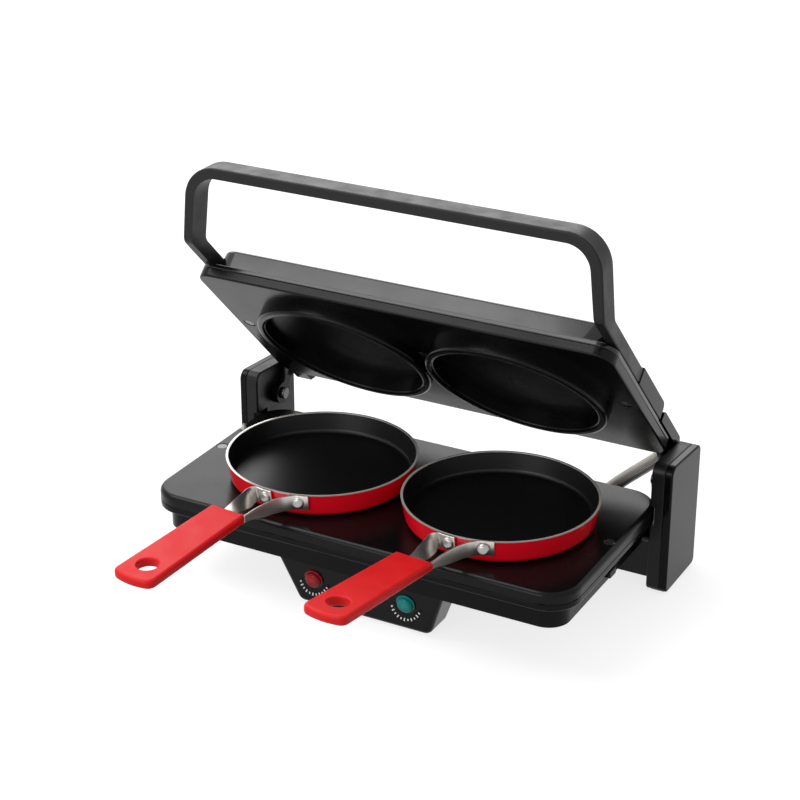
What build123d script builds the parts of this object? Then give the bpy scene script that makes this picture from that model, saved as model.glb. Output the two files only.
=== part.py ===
from build123d import *
from math import cos, radians, sin
import os

os.makedirs("parts", exist_ok=True)

# Contact grill with a hinged lid and two small frying pans that stand on its flat lower plate.
# Frame: X to the right, Y to the back, Z up.
# The origin lies on the table below the middle of the whole grill.
# All sizes are in millimetres.

# Clearances
cover_gap = 0.3         # round a cover that lies in an opening
running_gap = 0.5       # between faces that move past each other
bore_clearance = 0.06   # radial, round a pin, screw or lamp in its hole
seam_round = 0.6        # edge rounding that shows the seam between two shells
small_round = 0.8       # edge rounding of small fittings

# Lower cooking plate and the housing under it
plate_width = 306.0
plate_middle = 42.8
plate_depth = 158.0
plate_top = 62.0
plate_edge = 8.0
plate_skin = 3.5
plate_corner = 22.0
plate_lip = 5.0
plate_edge_round = 3.4
rim_height = 5.0
rim_step = 7.0
rim_round = 1.5
housing_bottom = 34.0
housing_wall = 2.5
bottom_cover_thickness = 2.2
boss_radius = 4.0
boss_inset = 5.5
boss_end_inset = 24.0
boss_height = 12.0
bottom_head_radius = 3.4
bottom_head_height = 1.4
clip_offset = 1.5
clip_height = 40.5
clip_length = 10.0
clip_width = 5.0
clip_thickness = 4.0
clip_corner = 1.4
lug_offset = 33.0
lug_length = 3.6
lug_thickness = 3.0
lug_height = 4.0
lug_taper = 18.0

# Foot with the two lamps, in the middle of the front
foot_offset = 4.0
foot_top_width = 121.0
foot_bottom_width = 97.0
foot_depth = 27.0
foot_lean = 6.5
foot_wall = 3.0
foot_edge_radius = 4.0
foot_corner_radius = 6.0
pad_height = 1.0
pad_width = 16.0
pad_depth = 9.0
lamp_spacing = 68.0
lamp_height = 23.0
lamp_lens_radius = 6.0
lamp_flange_radius = 7.0
lamp_flange_height = 1.0
lamp_dome_height = 2.6
lamp_body_length = 14.0
socket_wall = 1.8

# Hinge posts, each of an inner and an outer shell
post_gap = 0.6
post_inner_width = 9.2
post_outer_width = 5.4
post_overlap = 22.0
post_depth = 51.3
post_above_hinge = 22.8
post_fall = 3.4
post_front_radius = 6.5
post_rear_radius = 4.5
post_bottom_radius = 4.0
post_edge_radius = 1.2
post_wall = 2.0
pocket_clearance = 1.6
pocket_length = 13.0
pocket_margin = 1.2
post_boss_radius = 6.5

# Rear housing that joins the posts below the plate
beam_overlap = 17.0
beam_depth = 44.0
beam_bottom = 8.0
beam_rise = 6.0
beam_wall = 2.2
beam_step_gap = 1.5
beam_round = 5.0
inlet_from_post = 51.2
inlet_rise = 16.0
inlet_neck_radius = 5.5
inlet_bore_radius = 3.2
inlet_collar = 2.0
inlet_flange = 2.0
inlet_nose = 9.0
beam_screw_inset = 41.2

# Lid
open_angle = 45.5
hinge_behind = 3.0
hinge_rise = 9.0
lid_side_inset = 3.6
lid_back = 2.9
lid_face_height = 16.3
lid_corner = 12.0
lid_edge = 6.5
lid_skin = 3.0
lid_lip = 5.0
lid_edge_round = 1.2
cover_flange = 3.2
cover_rise = 15.0
cover_side_inset = 7.8
cover_side_taper = 1.0
cover_end_inset = 3.0
cover_taper = 4.5
cover_corner = 15.0
cover_wall = 2.5
cover_edge_radius = 3.0
disc_radius = 62.7
disc_gap = 2.8
disc_height = 8.0
disc_ring = 6.4
disc_dish = 7.2
disc_round = 2.2
disc_offset = 1.0
lid_screw_inset = 9.4
lid_screw_offset = 5.0
lid_middle_screw_offset = 16.0
lid_boss_radius = 5.0

# Hinge arms of the lid
ear_side_gap = 3.3
ear_thickness = 5.7
ear_hub_radius = 8.0
ear_neck_front = 4.6
ear_neck_back = 2.5
ear_rise = 7.4
ear_back = 6.0
ear_reach = 41.0
ear_arch_radius = 5.0
ear_end_round = 2.5
stop_width = 12.0
stop_start = 17.5
stop_height = 10.5
stop_reach = 14.0
stop_bevel = 4.0
pin_radius = 3.0
pin_head_radius = 4.2
pin_head_height = 2.0
pin_grip = 6.0

# Handle
arm_side_gap = 0.7
arm_thickness = 6.8
arm_height = 10.0
bracket_gap = 1.9
bracket_length = 58.0
bracket_height = 12.0
bracket_overlap = 0.7
bracket_back_round = 5.0
bracket_front_round = 1.5
handle_overhang = 19.4
handle_rise = 55.0
handle_band = 17.0
handle_strip = 7.2
handle_taper = 4.6
handle_corner = 24.0
handle_side_bend = 40.0
kink_radius = 8.0
handle_edge_radius = 1.2
handle_drop = 0.8
tang_length = 22.0
tang_thickness = 4.4
tang_height = 6.4
tang_clearance = 0.05

# Pans
pan_radius = 65.0
pan_height = 16.8
pan_wall = 1.6
pan_floor = 2.5
pan_taper = 3.2
pan_base_round = 5.0
pan_seat_gap = 0.1
pan_left_place = (-62.0, -3.0)
pan_right_place = (71.0, -2.0)
grip_turn = 5.6
grip_left_angle = -2.4
grip_right_angle = 4.7
grip_shift = 1.0
grip_distance = 37.0
grip_end_gap = 0.4
grip_length = 98.0
grip_bulge = 3.0
grip_root_width = 27.0
grip_tip_width = 31.0
grip_thickness = 6.5
grip_top = 18.5
grip_corner = 6.0
grip_round = 2.2
grip_hole_radius = 7.0
grip_hole_inset = 18.0
grip_hole_round = 1.2
strap_thickness = 1.2
strap_height = 11.0
strap_top = 17.5
strap_left_angle = -12.0
strap_right_angle = 22.0
strap_end_round = 5.0
strap_gap = 0.05
tang_plate = 3.0
tang_plate_width = 20.0
tang_plate_length = 56.0
leg_left_root = -3.5
leg_right_root = 13.4
leg_rise = 6.0
leg_slope = 20.0
leg_bend_start = 21.0
leg_bend_end = 11.0
leg_bend_shift = 1.0
leg_right_landing = 17.2
inner_head_radius = 3.0
inner_head_height = 0.8
inner_head_depth = 3.5
rivet_radius = 4.1
rivet_shank_radius = 1.6
rivet_height = 2.6
rivet_round = 2.4
rivet_angles = (-3.7, 16.6)

# Inner parts
element_radius = 3.2
element_seat = 0.2
element_side_inset = 35.0
element_end_inset = 31.0
element_gap = 30.0
element_bend = 20.0
element_pin_radius = 1.6
element_pin_length = 8.0
shield_thickness = 0.6
shield_drop = 4.0
tray_margin = 2.0
hood_side_margin = 4.0
hood_corner = 8.0
thermostat_place = (-80.0, 20.0)
thermostat_length = 26.0
thermostat_width = 14.0
thermostat_height = 8.0
button_radius = 5.0
button_height = 3.0
tab_spacing = 20.0
tab_thickness = 0.8
tab_width = 6.0
tab_height = 4.0
terminal_place = (60.0, 20.0)
terminal_length = 34.0
terminal_width = 16.0
terminal_height = 9.0
terminal_pitch = 11.0
terminal_hole_radius = 3.0
terminal_floor = 3.0
terminal_groove = 1.6
screw_head_radius = 4.2
screw_head_height = 2.2
screw_head_round = 0.9
screw_shank_radius = 1.9
screw_inset = 7.0
screw_offset = 2.0

# Braided conduit from the rear housing to the right post
conduit_radius = 4.8
gland_radius = 6.4
gland_length = 3.0
upper_gland_radius = 5.6
upper_gland_length = 11.0
wire_hole_radius = 3.0
conduit_span = 47.7
conduit_inset = 11.6
conduit_rise = 5.0
conduit_lead = 17.0
conduit_end_depth = 44.4
conduit_end_rise = 7.0
conduit_bends = [8.0, 11.0]

# Levels, faces and planes that follow from the sizes above
plate_back = plate_middle + plate_depth / 2
plate_seam = plate_top - plate_edge
rim_bottom = plate_seam - rim_height
wall_face = plate_width / 2 - rim_step
plate_plane = Plane(origin=(0, plate_middle, 0))
boss_place = plate_depth / 2 - boss_end_inset
hinge_y = plate_back + hinge_behind
hinge_z = plate_top + hinge_rise
lid_width = plate_width - 2 * lid_side_inset
lid_depth = plate_depth
cover_half_width = lid_width / 2 - cover_side_inset
ear_inner_face = cover_half_width + ear_side_gap
post_inner_face = ear_inner_face + ear_thickness + post_gap
post_front = plate_back - post_overlap
post_back = post_front + post_depth
post_height = hinge_z + post_above_hinge
post_seam = post_inner_face + post_inner_width
post_outer_face = post_seam + post_outer_width
post_middle = (post_inner_face + post_outer_face) / 2
pocket_depth = plate_width / 2 - post_inner_face + pocket_clearance
beam_front = plate_back - beam_overlap
beam_back = beam_front + beam_depth
beam_step = plate_back - rim_step + beam_step_gap
beam_top = housing_bottom + beam_rise
cord_inlet_x = inlet_from_post - post_inner_face
cord_inlet_z = beam_bottom + inlet_rise
conduit_start = (post_inner_face - conduit_span, beam_back - conduit_inset)
conduit_end = (post_front + conduit_end_depth, hinge_z + conduit_end_rise)
conduit_bend_x = post_inner_face - conduit_lead
hinge_angle = radians(open_angle)
lid_up = (0, sin(hinge_angle), cos(hinge_angle))
lid_back_direction = (0, cos(hinge_angle), -sin(hinge_angle))
lid_plane = Plane(origin=(0, hinge_y, hinge_z), x_dir=(1, 0, 0), z_dir=lid_up)
lid_axis = Axis(lid_plane.origin, lid_plane.z_dir)
lid_middle = -lid_back - lid_depth / 2
lid_seam = lid_face_height + lid_edge
flange_top = lid_seam + cover_flange
cover_top = flange_top + cover_rise
ear_top = flange_top + ear_rise
element_half_width = plate_width / 2 - element_side_inset
element_half_depth = plate_depth / 2 - element_end_inset


def lid_side(x):
    """The plane at this X in which the lid's side profiles are drawn, its x axis to the lid's back edge."""
    return Plane(origin=(x, hinge_y, hinge_z), x_dir=lid_back_direction, z_dir=(1, 0, 0))


def lid_point(back, up):
    """Y and Z of a point given by its distance behind the hinge axis and above it, in the closed lid."""
    return (
        hinge_y + back * cos(hinge_angle) + up * sin(hinge_angle),
        hinge_z - back * sin(hinge_angle) + up * cos(hinge_angle),
    )


# Lower cooking plate: a flat casting with a rolled lip and two countersunk screws
plate_screws = [(-plate_width / 2 + screw_inset, screw_offset), (plate_width / 2 - screw_inset, screw_offset)]
screw_seat = screw_head_height + 0.2

with BuildPart() as lower_plate:
    with BuildSketch(plate_plane.offset(plate_seam)):
        RectangleRounded(plate_width, plate_depth, plate_corner)
    extrude(amount=plate_edge)
    fillet(lower_plate.faces().sort_by(Axis.Z)[-1].edges(), plate_edge_round)
    fillet(lower_plate.faces().sort_by(Axis.Z)[0].edges(), seam_round)
    with BuildSketch(plate_plane.offset(plate_seam)):
        RectangleRounded(plate_width - 2 * plate_lip, plate_depth - 2 * plate_lip, plate_corner - plate_lip)
    extrude(amount=plate_edge - plate_skin, mode=Mode.SUBTRACT)
    with Locations(*[(x, plate_middle + y, plate_top) for x, y in plate_screws]):
        CounterBoreHole(
            radius=screw_shank_radius + bore_clearance,
            counter_bore_radius=screw_head_radius + bore_clearance,
            counter_bore_depth=screw_seat,
            depth=plate_edge,
        )

lower_plate.part.label = "lower_plate"
export_step(lower_plate.part, "parts/lower_plate.step")

# Housing: a rim that carries the plate, and the walls below it, set in
with BuildPart() as base_housing:
    with BuildSketch(plate_plane.offset(rim_bottom)):
        RectangleRounded(plate_width, plate_depth, plate_corner)
    extrude(amount=rim_height)
    fillet(base_housing.faces().sort_by(Axis.Z)[-1].edges(), seam_round)
    fillet(base_housing.faces().sort_by(Axis.Z)[0].edges(), rim_round)
    with BuildSketch(plate_plane.offset(housing_bottom)):
        RectangleRounded(2 * wall_face, plate_depth - 2 * rim_step, plate_corner - rim_step)
    extrude(amount=plate_seam - housing_bottom)
    with BuildSketch(plate_plane.offset(housing_bottom)):
        RectangleRounded(2 * wall_face, plate_depth - 2 * rim_step, plate_corner - rim_step)
        offset(amount=-housing_wall, mode=Mode.REPLACE)
    extrude(amount=plate_seam - housing_bottom, mode=Mode.SUBTRACT)
    with BuildSketch(plate_plane.offset(housing_bottom + bottom_cover_thickness)):
        with GridLocations(2 * (wall_face - boss_inset), 2 * boss_place, 2, 2):
            Circle(boss_radius)
    extrude(amount=boss_height)
    with BuildSketch(plate_plane.offset(housing_bottom)):
        with GridLocations(2 * (wall_face - boss_inset), 2 * boss_place, 2, 2):
            Circle(screw_shank_radius + bore_clearance)
    extrude(amount=boss_height, mode=Mode.SUBTRACT)
    with Locations(*[(x, plate_middle + y, plate_seam) for x, y in plate_screws]):
        Hole(radius=screw_shank_radius + bore_clearance, depth=rim_height)

base_housing.part.label = "base_housing"
export_step(base_housing.part, "parts/base_housing.step")

with BuildPart() as lower_plate_screws:
    with BuildSketch(plate_plane.offset(plate_top - screw_seat)):
        with Locations(*plate_screws):
            Circle(screw_head_radius)
    extrude(amount=screw_head_height)
    fillet(lower_plate_screws.faces().group_by(Axis.Z)[-1].edges(), screw_head_round)
    with BuildSketch(plate_plane.offset(rim_bottom + 0.5)):
        with Locations(*plate_screws):
            Circle(screw_shank_radius)
    extrude(amount=plate_edge + rim_height - screw_seat - 0.5)

lower_plate_screws.part.label = "lower_plate_screws"
export_step(lower_plate_screws.part, "parts/lower_plate_screws.step")

# Cover of the housing's underside
with BuildPart() as bottom_cover:
    with BuildSketch(plate_plane.offset(housing_bottom)):
        RectangleRounded(2 * wall_face, plate_depth - 2 * rim_step, plate_corner - rim_step)
        offset(amount=-housing_wall - cover_gap, mode=Mode.REPLACE)
        with GridLocations(2 * (wall_face - boss_inset), 2 * boss_place, 2, 2):
            Circle(screw_shank_radius + bore_clearance, mode=Mode.SUBTRACT)
    extrude(amount=bottom_cover_thickness)

bottom_cover.part.label = "bottom_cover"
export_step(bottom_cover.part, "parts/bottom_cover.step")

# Small clips at the housing's side walls and a pointed lug on the plate's left edge
with BuildPart() as side_clips:
    with BuildSketch(Plane.YZ.offset(wall_face)):
        with Locations((plate_middle + clip_offset, clip_height)):
            RectangleRounded(clip_length, clip_width, clip_corner)
    extrude(amount=clip_thickness)
    fillet(side_clips.faces().sort_by(Axis.X)[-1].edges(), small_round)
    mirror(about=Plane.YZ)

side_clips.part.label = "side_clips"
export_step(side_clips.part, "parts/side_clips.step")

with BuildPart() as plate_lug:
    with BuildSketch(plate_plane.offset(plate_top)):
        with Locations((plate_edge_round + lug_thickness / 2 - plate_width / 2, lug_offset)):
            Rectangle(lug_thickness, lug_length)
    extrude(amount=lug_height, taper=lug_taper)

plate_lug.part.label = "plate_lug"
export_step(plate_lug.part, "parts/plate_lug.step")

# Foot: a hollow box that narrows to the table, its front face leaning back
foot_front = plate_middle - plate_depth / 2 + rim_step
foot_back = foot_front + foot_depth

foot_slope = foot_lean / (housing_bottom - pad_height)
lamp_plane = Plane(
    origin=(foot_offset, foot_front + (housing_bottom - lamp_height) * foot_slope, lamp_height),
    x_dir=(1, 0, 0),
    z_dir=(0, -1, -foot_slope),
)

with BuildPart() as control_foot:
    with BuildSketch(Plane.YZ.offset(foot_offset)):
        with BuildLine():
            Polyline(
                (foot_front, housing_bottom),
                (foot_front + foot_lean, pad_height),
                (foot_back, pad_height),
                (foot_back, housing_bottom),
                close=True,
            )
        make_face()
    extrude(amount=foot_top_width, both=True)
    with BuildSketch(Plane.XZ) as foot_face:
        with BuildLine():
            Polyline(
                (foot_offset - foot_top_width / 2, housing_bottom),
                (foot_offset - foot_bottom_width / 2, pad_height),
                (foot_offset + foot_bottom_width / 2, pad_height),
                (foot_offset + foot_top_width / 2, housing_bottom),
                close=True,
            )
        make_face()
        fillet(foot_face.vertices().group_by(Axis.Y)[0], foot_corner_radius)
    extrude(amount=plate_depth, both=True, mode=Mode.INTERSECT)
    fillet(control_foot.faces().sort_by(Axis.Y)[0].edges().sort_by(Axis.Z)[:-1], foot_edge_radius)
    offset(amount=-foot_wall, openings=control_foot.faces().sort_by(Axis.Z)[-1])
    with BuildSketch(lamp_plane):
        with GridLocations(lamp_spacing, 1, 2, 1):
            Circle(lamp_lens_radius + bore_clearance)
    extrude(amount=-foot_wall - 1, mode=Mode.SUBTRACT)

control_foot.part.label = "control_foot"
export_step(control_foot.part, "parts/control_foot.step")

for lamp_name, lamp_side in (("lamp_red", -1), ("lamp_green", 1)):
    with BuildPart() as lamp:
        with BuildSketch(lamp_plane):
            with Locations((lamp_side * lamp_spacing / 2, 0)):
                Circle(lamp_flange_radius)
        extrude(amount=lamp_flange_height)
        fillet(lamp.faces().sort_by(Axis.Y)[0].edges(), 0.5)
        with BuildSketch(lamp_plane):
            with Locations((lamp_side * lamp_spacing / 2, 0)):
                Circle(lamp_lens_radius - 0.4)
        extrude(amount=lamp_flange_height + lamp_dome_height)
        fillet(lamp.faces().sort_by(Axis.Y)[0].edges(), lamp_dome_height - 0.3)
        with BuildSketch(lamp_plane):
            with Locations((lamp_side * lamp_spacing / 2, 0)):
                Circle(lamp_lens_radius)
        extrude(amount=-lamp_body_length)
    lamp.part.label = lamp_name
    export_step(lamp.part, f"parts/{lamp_name}.step")

with BuildPart() as lamp_sockets:
    with BuildSketch(lamp_plane.offset(-foot_wall)):
        with GridLocations(lamp_spacing, 1, 2, 1):
            Circle(lamp_lens_radius + socket_wall)
    extrude(amount=foot_wall - lamp_body_length - socket_wall)
    with BuildSketch(lamp_plane):
        with GridLocations(lamp_spacing, 1, 2, 1):
            Circle(lamp_lens_radius + bore_clearance)
    extrude(amount=-lamp_body_length - bore_clearance, mode=Mode.SUBTRACT)

lamp_sockets.part.label = "lamp_sockets"
export_step(lamp_sockets.part, "parts/lamp_sockets.step")

with BuildPart() as foot_pads:
    with BuildSketch():
        with Locations((foot_offset, foot_front + foot_lean + foot_edge_radius + pad_depth / 2 + 1)):
            with GridLocations(foot_bottom_width - pad_width - 4 * foot_edge_radius, 1, 2, 1):
                Rectangle(pad_width, pad_depth)
    extrude(amount=pad_height)

foot_pads.part.label = "foot_pads"
export_step(foot_pads.part, "parts/foot_pads.step")


# Posts: two shells each, with a pocket for the plate's corner and a boss for the hinge pin
def post_profile(x, inset=0.0):
    """The post's side outline at this X, or the same outline drawn in."""
    with BuildSketch(Plane.YZ.offset(x)) as outline:
        with BuildLine():
            Polyline(
                (post_front, pad_height),
                (post_front, post_height),
                (post_back, post_height - post_fall),
                (post_back, pad_height),
                close=True,
            )
        make_face()
        fillet(outline.vertices().sort_by_distance((post_front, post_height))[0], post_front_radius)
        fillet(outline.vertices().sort_by_distance((post_back, post_height - post_fall))[0], post_rear_radius)
        fillet(outline.vertices().sort_by_distance((post_front, pad_height))[0], post_bottom_radius)
        fillet(outline.vertices().sort_by_distance((post_back, pad_height))[0], post_bottom_radius)
        if inset:
            offset(amount=-inset, mode=Mode.REPLACE)
    return outline.sketch


pocket_middle = (plate_top + rim_bottom) / 2
pocket_height = plate_top - rim_bottom + 2 * pocket_margin

with BuildPart() as post_right_inner:
    extrude(post_profile(post_inner_face), amount=post_inner_width)
    fillet(post_right_inner.faces().sort_by(Axis.X)[0].edges(), post_edge_radius)
    fillet(post_right_inner.faces().sort_by(Axis.X)[-1].edges(), seam_round)
    hollow_profile = post_profile(post_inner_face + post_wall, post_wall)
    extrude(hollow_profile, amount=post_inner_width - post_wall, mode=Mode.SUBTRACT)
    with BuildSketch(Plane.YZ.offset(post_inner_face + post_wall)):
        with Locations((post_front + (pocket_length + post_wall) / 2 + 1, pocket_middle)):
            Rectangle(pocket_length + post_wall - 2, pocket_height + 2 * post_wall)
        with Locations((hinge_y, hinge_z)):
            Circle(post_boss_radius)
    extrude(amount=post_inner_width - post_wall)
    with BuildSketch(Plane.YZ.offset(post_inner_face)):
        with Locations((post_front, pocket_middle)):
            Rectangle(2 * pocket_length, pocket_height)
    extrude(amount=pocket_depth, mode=Mode.SUBTRACT)
    with BuildSketch(Plane.YZ.offset(post_inner_face)):
        with Locations((hinge_y, hinge_z)):
            Circle(pin_radius + bore_clearance)
        with Locations(conduit_end):
            Circle(wire_hole_radius)
    extrude(amount=post_inner_width, mode=Mode.SUBTRACT)

with BuildPart() as post_right_outer:
    extrude(post_profile(post_seam), amount=post_outer_width)
    fillet(post_right_outer.faces().sort_by(Axis.X)[-1].edges(), post_edge_radius)
    fillet(post_right_outer.faces().sort_by(Axis.X)[0].edges(), seam_round)
    extrude(post_profile(post_seam, post_wall), amount=post_outer_width - post_wall, mode=Mode.SUBTRACT)

with BuildPart() as post_left_inner:
    mirror(post_right_inner.part, about=Plane.YZ)

with BuildPart() as post_left_outer:
    mirror(post_right_outer.part, about=Plane.YZ)

post_right_inner.part.label = "post_right_inner"
post_right_outer.part.label = "post_right_outer"
post_left_inner.part.label = "post_left_inner"
post_left_outer.part.label = "post_left_outer"
export_step(post_right_inner.part, "parts/post_right_inner.step")
export_step(post_right_outer.part, "parts/post_right_outer.step")
export_step(post_left_inner.part, "parts/post_left_inner.step")
export_step(post_left_outer.part, "parts/post_left_outer.step")

with BuildPart() as post_pads:
    with BuildSketch():
        with Locations((0, post_front + post_depth / 2)):
            with GridLocations(2 * post_middle, post_depth - 2 * post_bottom_radius - pad_width, 2, 2):
                Rectangle(pad_depth, pad_width)
    extrude(amount=pad_height)

post_pads.part.label = "post_pads"
export_step(post_pads.part, "parts/post_pads.step")

# Hinge pins: the head stands on the inner side of the hinge arm
pin_head_end = ear_inner_face - running_gap

with BuildPart() as hinge_pins:
    with BuildSketch(Plane.YZ.offset(pin_head_end - pin_head_height)):
        with Locations((hinge_y, hinge_z)):
            Circle(pin_head_radius)
    extrude(amount=pin_head_height)
    fillet(hinge_pins.faces().sort_by(Axis.X)[0].edges(), small_round)
    with BuildSketch(Plane.YZ.offset(pin_head_end)):
        with Locations((hinge_y, hinge_z)):
            Circle(pin_radius)
    extrude(amount=post_inner_face + pin_grip - pin_head_end)
    mirror(about=Plane.YZ)

hinge_pins.part.label = "hinge_pins"
export_step(hinge_pins.part, "parts/hinge_pins.step")

# Rear housing: a stepped beam under the plate's back edge, open below and closed by its own cover
beam_screw_x = post_inner_face - beam_screw_inset

with BuildPart() as rear_housing:
    with BuildSketch(Plane.YZ.offset(-post_inner_face)) as beam_profile:
        with BuildLine():
            Polyline(
                (beam_front, beam_bottom),
                (beam_back, beam_bottom),
                (beam_back, beam_top),
                (beam_step, beam_top),
                (beam_step, housing_bottom),
                (beam_front, housing_bottom),
                close=True,
            )
        make_face()
        fillet(beam_profile.vertices().sort_by_distance((beam_back, beam_top))[0], beam_round)
    extrude(amount=2 * post_inner_face)
    with BuildSketch(Plane.XY.offset(beam_bottom)):
        with Locations((0, (beam_front + beam_back) / 2)):
            Rectangle(2 * (post_inner_face - beam_wall), beam_back - beam_front - 2 * beam_wall)
    extrude(amount=housing_bottom - beam_bottom - beam_wall, mode=Mode.SUBTRACT)
    with BuildSketch(Plane.XY.offset(beam_bottom)):
        with Locations((0, (beam_step + beam_back) / 2)):
            Rectangle(2 * (post_inner_face - beam_wall), beam_back - beam_step - 2 * beam_wall)
    extrude(amount=beam_top - beam_bottom - beam_wall, mode=Mode.SUBTRACT)
    with BuildSketch(Plane.XY.offset(beam_bottom + bottom_cover_thickness)):
        with Locations((0, (beam_step + beam_back) / 2)):
            with GridLocations(2 * beam_screw_x, 1, 2, 1):
                Circle(boss_radius)
    extrude(amount=beam_top - beam_bottom - bottom_cover_thickness - beam_wall)
    with BuildSketch(Plane.XY.offset(beam_bottom)):
        with Locations((0, (beam_step + beam_back) / 2)):
            with GridLocations(2 * beam_screw_x, 1, 2, 1):
                Circle(screw_shank_radius + bore_clearance)
    extrude(amount=boss_height, mode=Mode.SUBTRACT)
    with Locations((conduit_start[0], conduit_start[1], beam_top)):
        Hole(radius=wire_hole_radius, depth=2 * beam_wall)
    with BuildSketch(Plane.XZ.offset(-beam_back)):
        with Locations((cord_inlet_x, cord_inlet_z)):
            Circle(inlet_neck_radius + bore_clearance)
    extrude(amount=2 * beam_wall, mode=Mode.SUBTRACT)

rear_housing.part.label = "rear_housing"
export_step(rear_housing.part, "parts/rear_housing.step")

with BuildPart() as rear_cover:
    with BuildSketch(Plane.XY.offset(beam_bottom)):
        with Locations((0, (beam_front + beam_back) / 2)):
            Rectangle(2 * post_inner_face, beam_depth)
            offset(amount=-beam_wall - cover_gap, mode=Mode.REPLACE)
        with Locations((0, (beam_step + beam_back) / 2)):
            with GridLocations(2 * beam_screw_x, 1, 2, 1):
                Circle(screw_shank_radius + bore_clearance, mode=Mode.SUBTRACT)
    extrude(amount=bottom_cover_thickness)

rear_cover.part.label = "rear_cover"
export_step(rear_cover.part, "parts/rear_cover.step")

with BuildPart() as bottom_screws:
    with BuildSketch(plate_plane.offset(housing_bottom - bottom_head_height)):
        with GridLocations(2 * (wall_face - boss_inset), 2 * boss_place, 2, 2):
            Circle(bottom_head_radius)
    extrude(amount=bottom_head_height)
    with BuildSketch(plate_plane.offset(housing_bottom)):
        with GridLocations(2 * (wall_face - boss_inset), 2 * boss_place, 2, 2):
            Circle(screw_shank_radius)
    extrude(amount=boss_height - 1)
    with BuildSketch(Plane.XY.offset(beam_bottom - bottom_head_height)):
        with Locations((0, (beam_step + beam_back) / 2)):
            with GridLocations(2 * beam_screw_x, 1, 2, 1):
                Circle(bottom_head_radius)
    extrude(amount=bottom_head_height)
    with BuildSketch(Plane.XY.offset(beam_bottom)):
        with Locations((0, (beam_step + beam_back) / 2)):
            with GridLocations(2 * beam_screw_x, 1, 2, 1):
                Circle(screw_shank_radius)
    extrude(amount=boss_height - 1)

bottom_screws.part.label = "bottom_screws"
export_step(bottom_screws.part, "parts/bottom_screws.step")

# Cord inlet: a bush in the back of the rear housing
with BuildPart() as cord_inlet:
    with BuildSketch(Plane.XZ.offset(-beam_back)):
        with Locations((cord_inlet_x, cord_inlet_z)):
            Circle(inlet_neck_radius + inlet_collar)
    extrude(amount=-inlet_flange)
    fillet(cord_inlet.faces().sort_by(Axis.Y)[-1].edges(), small_round)
    with BuildSketch(Plane.XZ.offset(-beam_back)):
        with Locations((cord_inlet_x, cord_inlet_z)):
            Circle(inlet_neck_radius)
    extrude(amount=beam_wall + 1.0)
    with BuildSketch(Plane.XZ.offset(-beam_back - inlet_flange)):
        with Locations((cord_inlet_x, cord_inlet_z)):
            Circle(inlet_neck_radius - 0.4)
    extrude(amount=-inlet_nose, taper=8)
    with BuildSketch(Plane.XZ.offset(-beam_back + beam_wall + 1.0)):
        with Locations((cord_inlet_x, cord_inlet_z)):
            Circle(inlet_bore_radius)
    extrude(amount=-beam_wall - 1.0 - inlet_flange - inlet_nose, mode=Mode.SUBTRACT)

cord_inlet.part.label = "cord_inlet"
export_step(cord_inlet.part, "parts/cord_inlet.step")

# Conduit with its two glands
with BuildPart() as gland_lower:
    with BuildSketch(Plane.XY.offset(beam_top)):
        with Locations(conduit_start):
            Circle(gland_radius)
    extrude(amount=gland_length)
    chamfer(gland_lower.faces().sort_by(Axis.Z)[-1].edges(), small_round)
    with Locations((conduit_start[0], conduit_start[1], beam_top + gland_length)):
        Hole(radius=wire_hole_radius)

gland_lower.part.label = "gland_lower"
export_step(gland_lower.part, "parts/gland_lower.step")

with BuildPart() as gland_upper:
    with BuildSketch(Plane.YZ.offset(post_inner_face)):
        with Locations(conduit_end):
            Circle(upper_gland_radius)
    extrude(amount=-upper_gland_length)
    chamfer(gland_upper.faces().sort_by(Axis.X)[0].edges(), small_round)
    with BuildSketch(Plane.YZ.offset(post_inner_face)):
        with Locations(conduit_end):
            Circle(wire_hole_radius)
    extrude(amount=-upper_gland_length, mode=Mode.SUBTRACT)

gland_upper.part.label = "gland_upper"
export_step(gland_upper.part, "parts/gland_upper.step")

with BuildPart() as conduit:
    with BuildLine() as conduit_path:
        FilletPolyline(
            (conduit_start[0], conduit_start[1], beam_top + gland_length),
            (conduit_start[0], conduit_start[1], beam_top + gland_length + conduit_rise),
            (conduit_bend_x, conduit_end[0], conduit_end[1]),
            (post_inner_face - upper_gland_length, conduit_end[0], conduit_end[1]),
            radius=conduit_bends,
        )
    with BuildSketch(Plane(origin=conduit_path.line @ 0, z_dir=conduit_path.line % 0)):
        Circle(conduit_radius)
    sweep()

conduit.part.label = "conduit"
export_step(conduit.part, "parts/conduit.step")

# Lower heating element, its shield, and the parts on the bottom cover
element_height = plate_top - plate_skin - element_seat - element_radius

with BuildPart() as lower_element:
    with BuildLine(plate_plane.offset(element_height)) as lower_loop:
        FilletPolyline(
            (-element_gap / 2, element_half_depth),
            (-element_half_width, element_half_depth),
            (-element_half_width, -element_half_depth),
            (element_half_width, -element_half_depth),
            (element_half_width, element_half_depth),
            (element_gap / 2, element_half_depth),
            radius=element_bend,
        )
    with BuildSketch(Plane(origin=lower_loop.line @ 0, z_dir=lower_loop.line % 0)):
        Circle(element_radius)
    sweep()
    with BuildSketch(Plane(origin=lower_loop.line @ 0, z_dir=(1, 0, 0))):
        Circle(element_pin_radius)
    extrude(amount=element_pin_length)
    with BuildSketch(Plane(origin=lower_loop.line @ 1, z_dir=(-1, 0, 0))):
        Circle(element_pin_radius)
    extrude(amount=element_pin_length)

lower_element.part.label = "lower_element"
export_step(lower_element.part, "parts/lower_element.step")

shield_width = plate_width - 2 * plate_lip - 2 * cover_gap
shield_depth = plate_depth - 2 * plate_lip - 2 * cover_gap
tray_width = 2 * (wall_face - housing_wall - tray_margin)
tray_depth = plate_depth - 2 * (rim_step + housing_wall + tray_margin)

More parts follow.
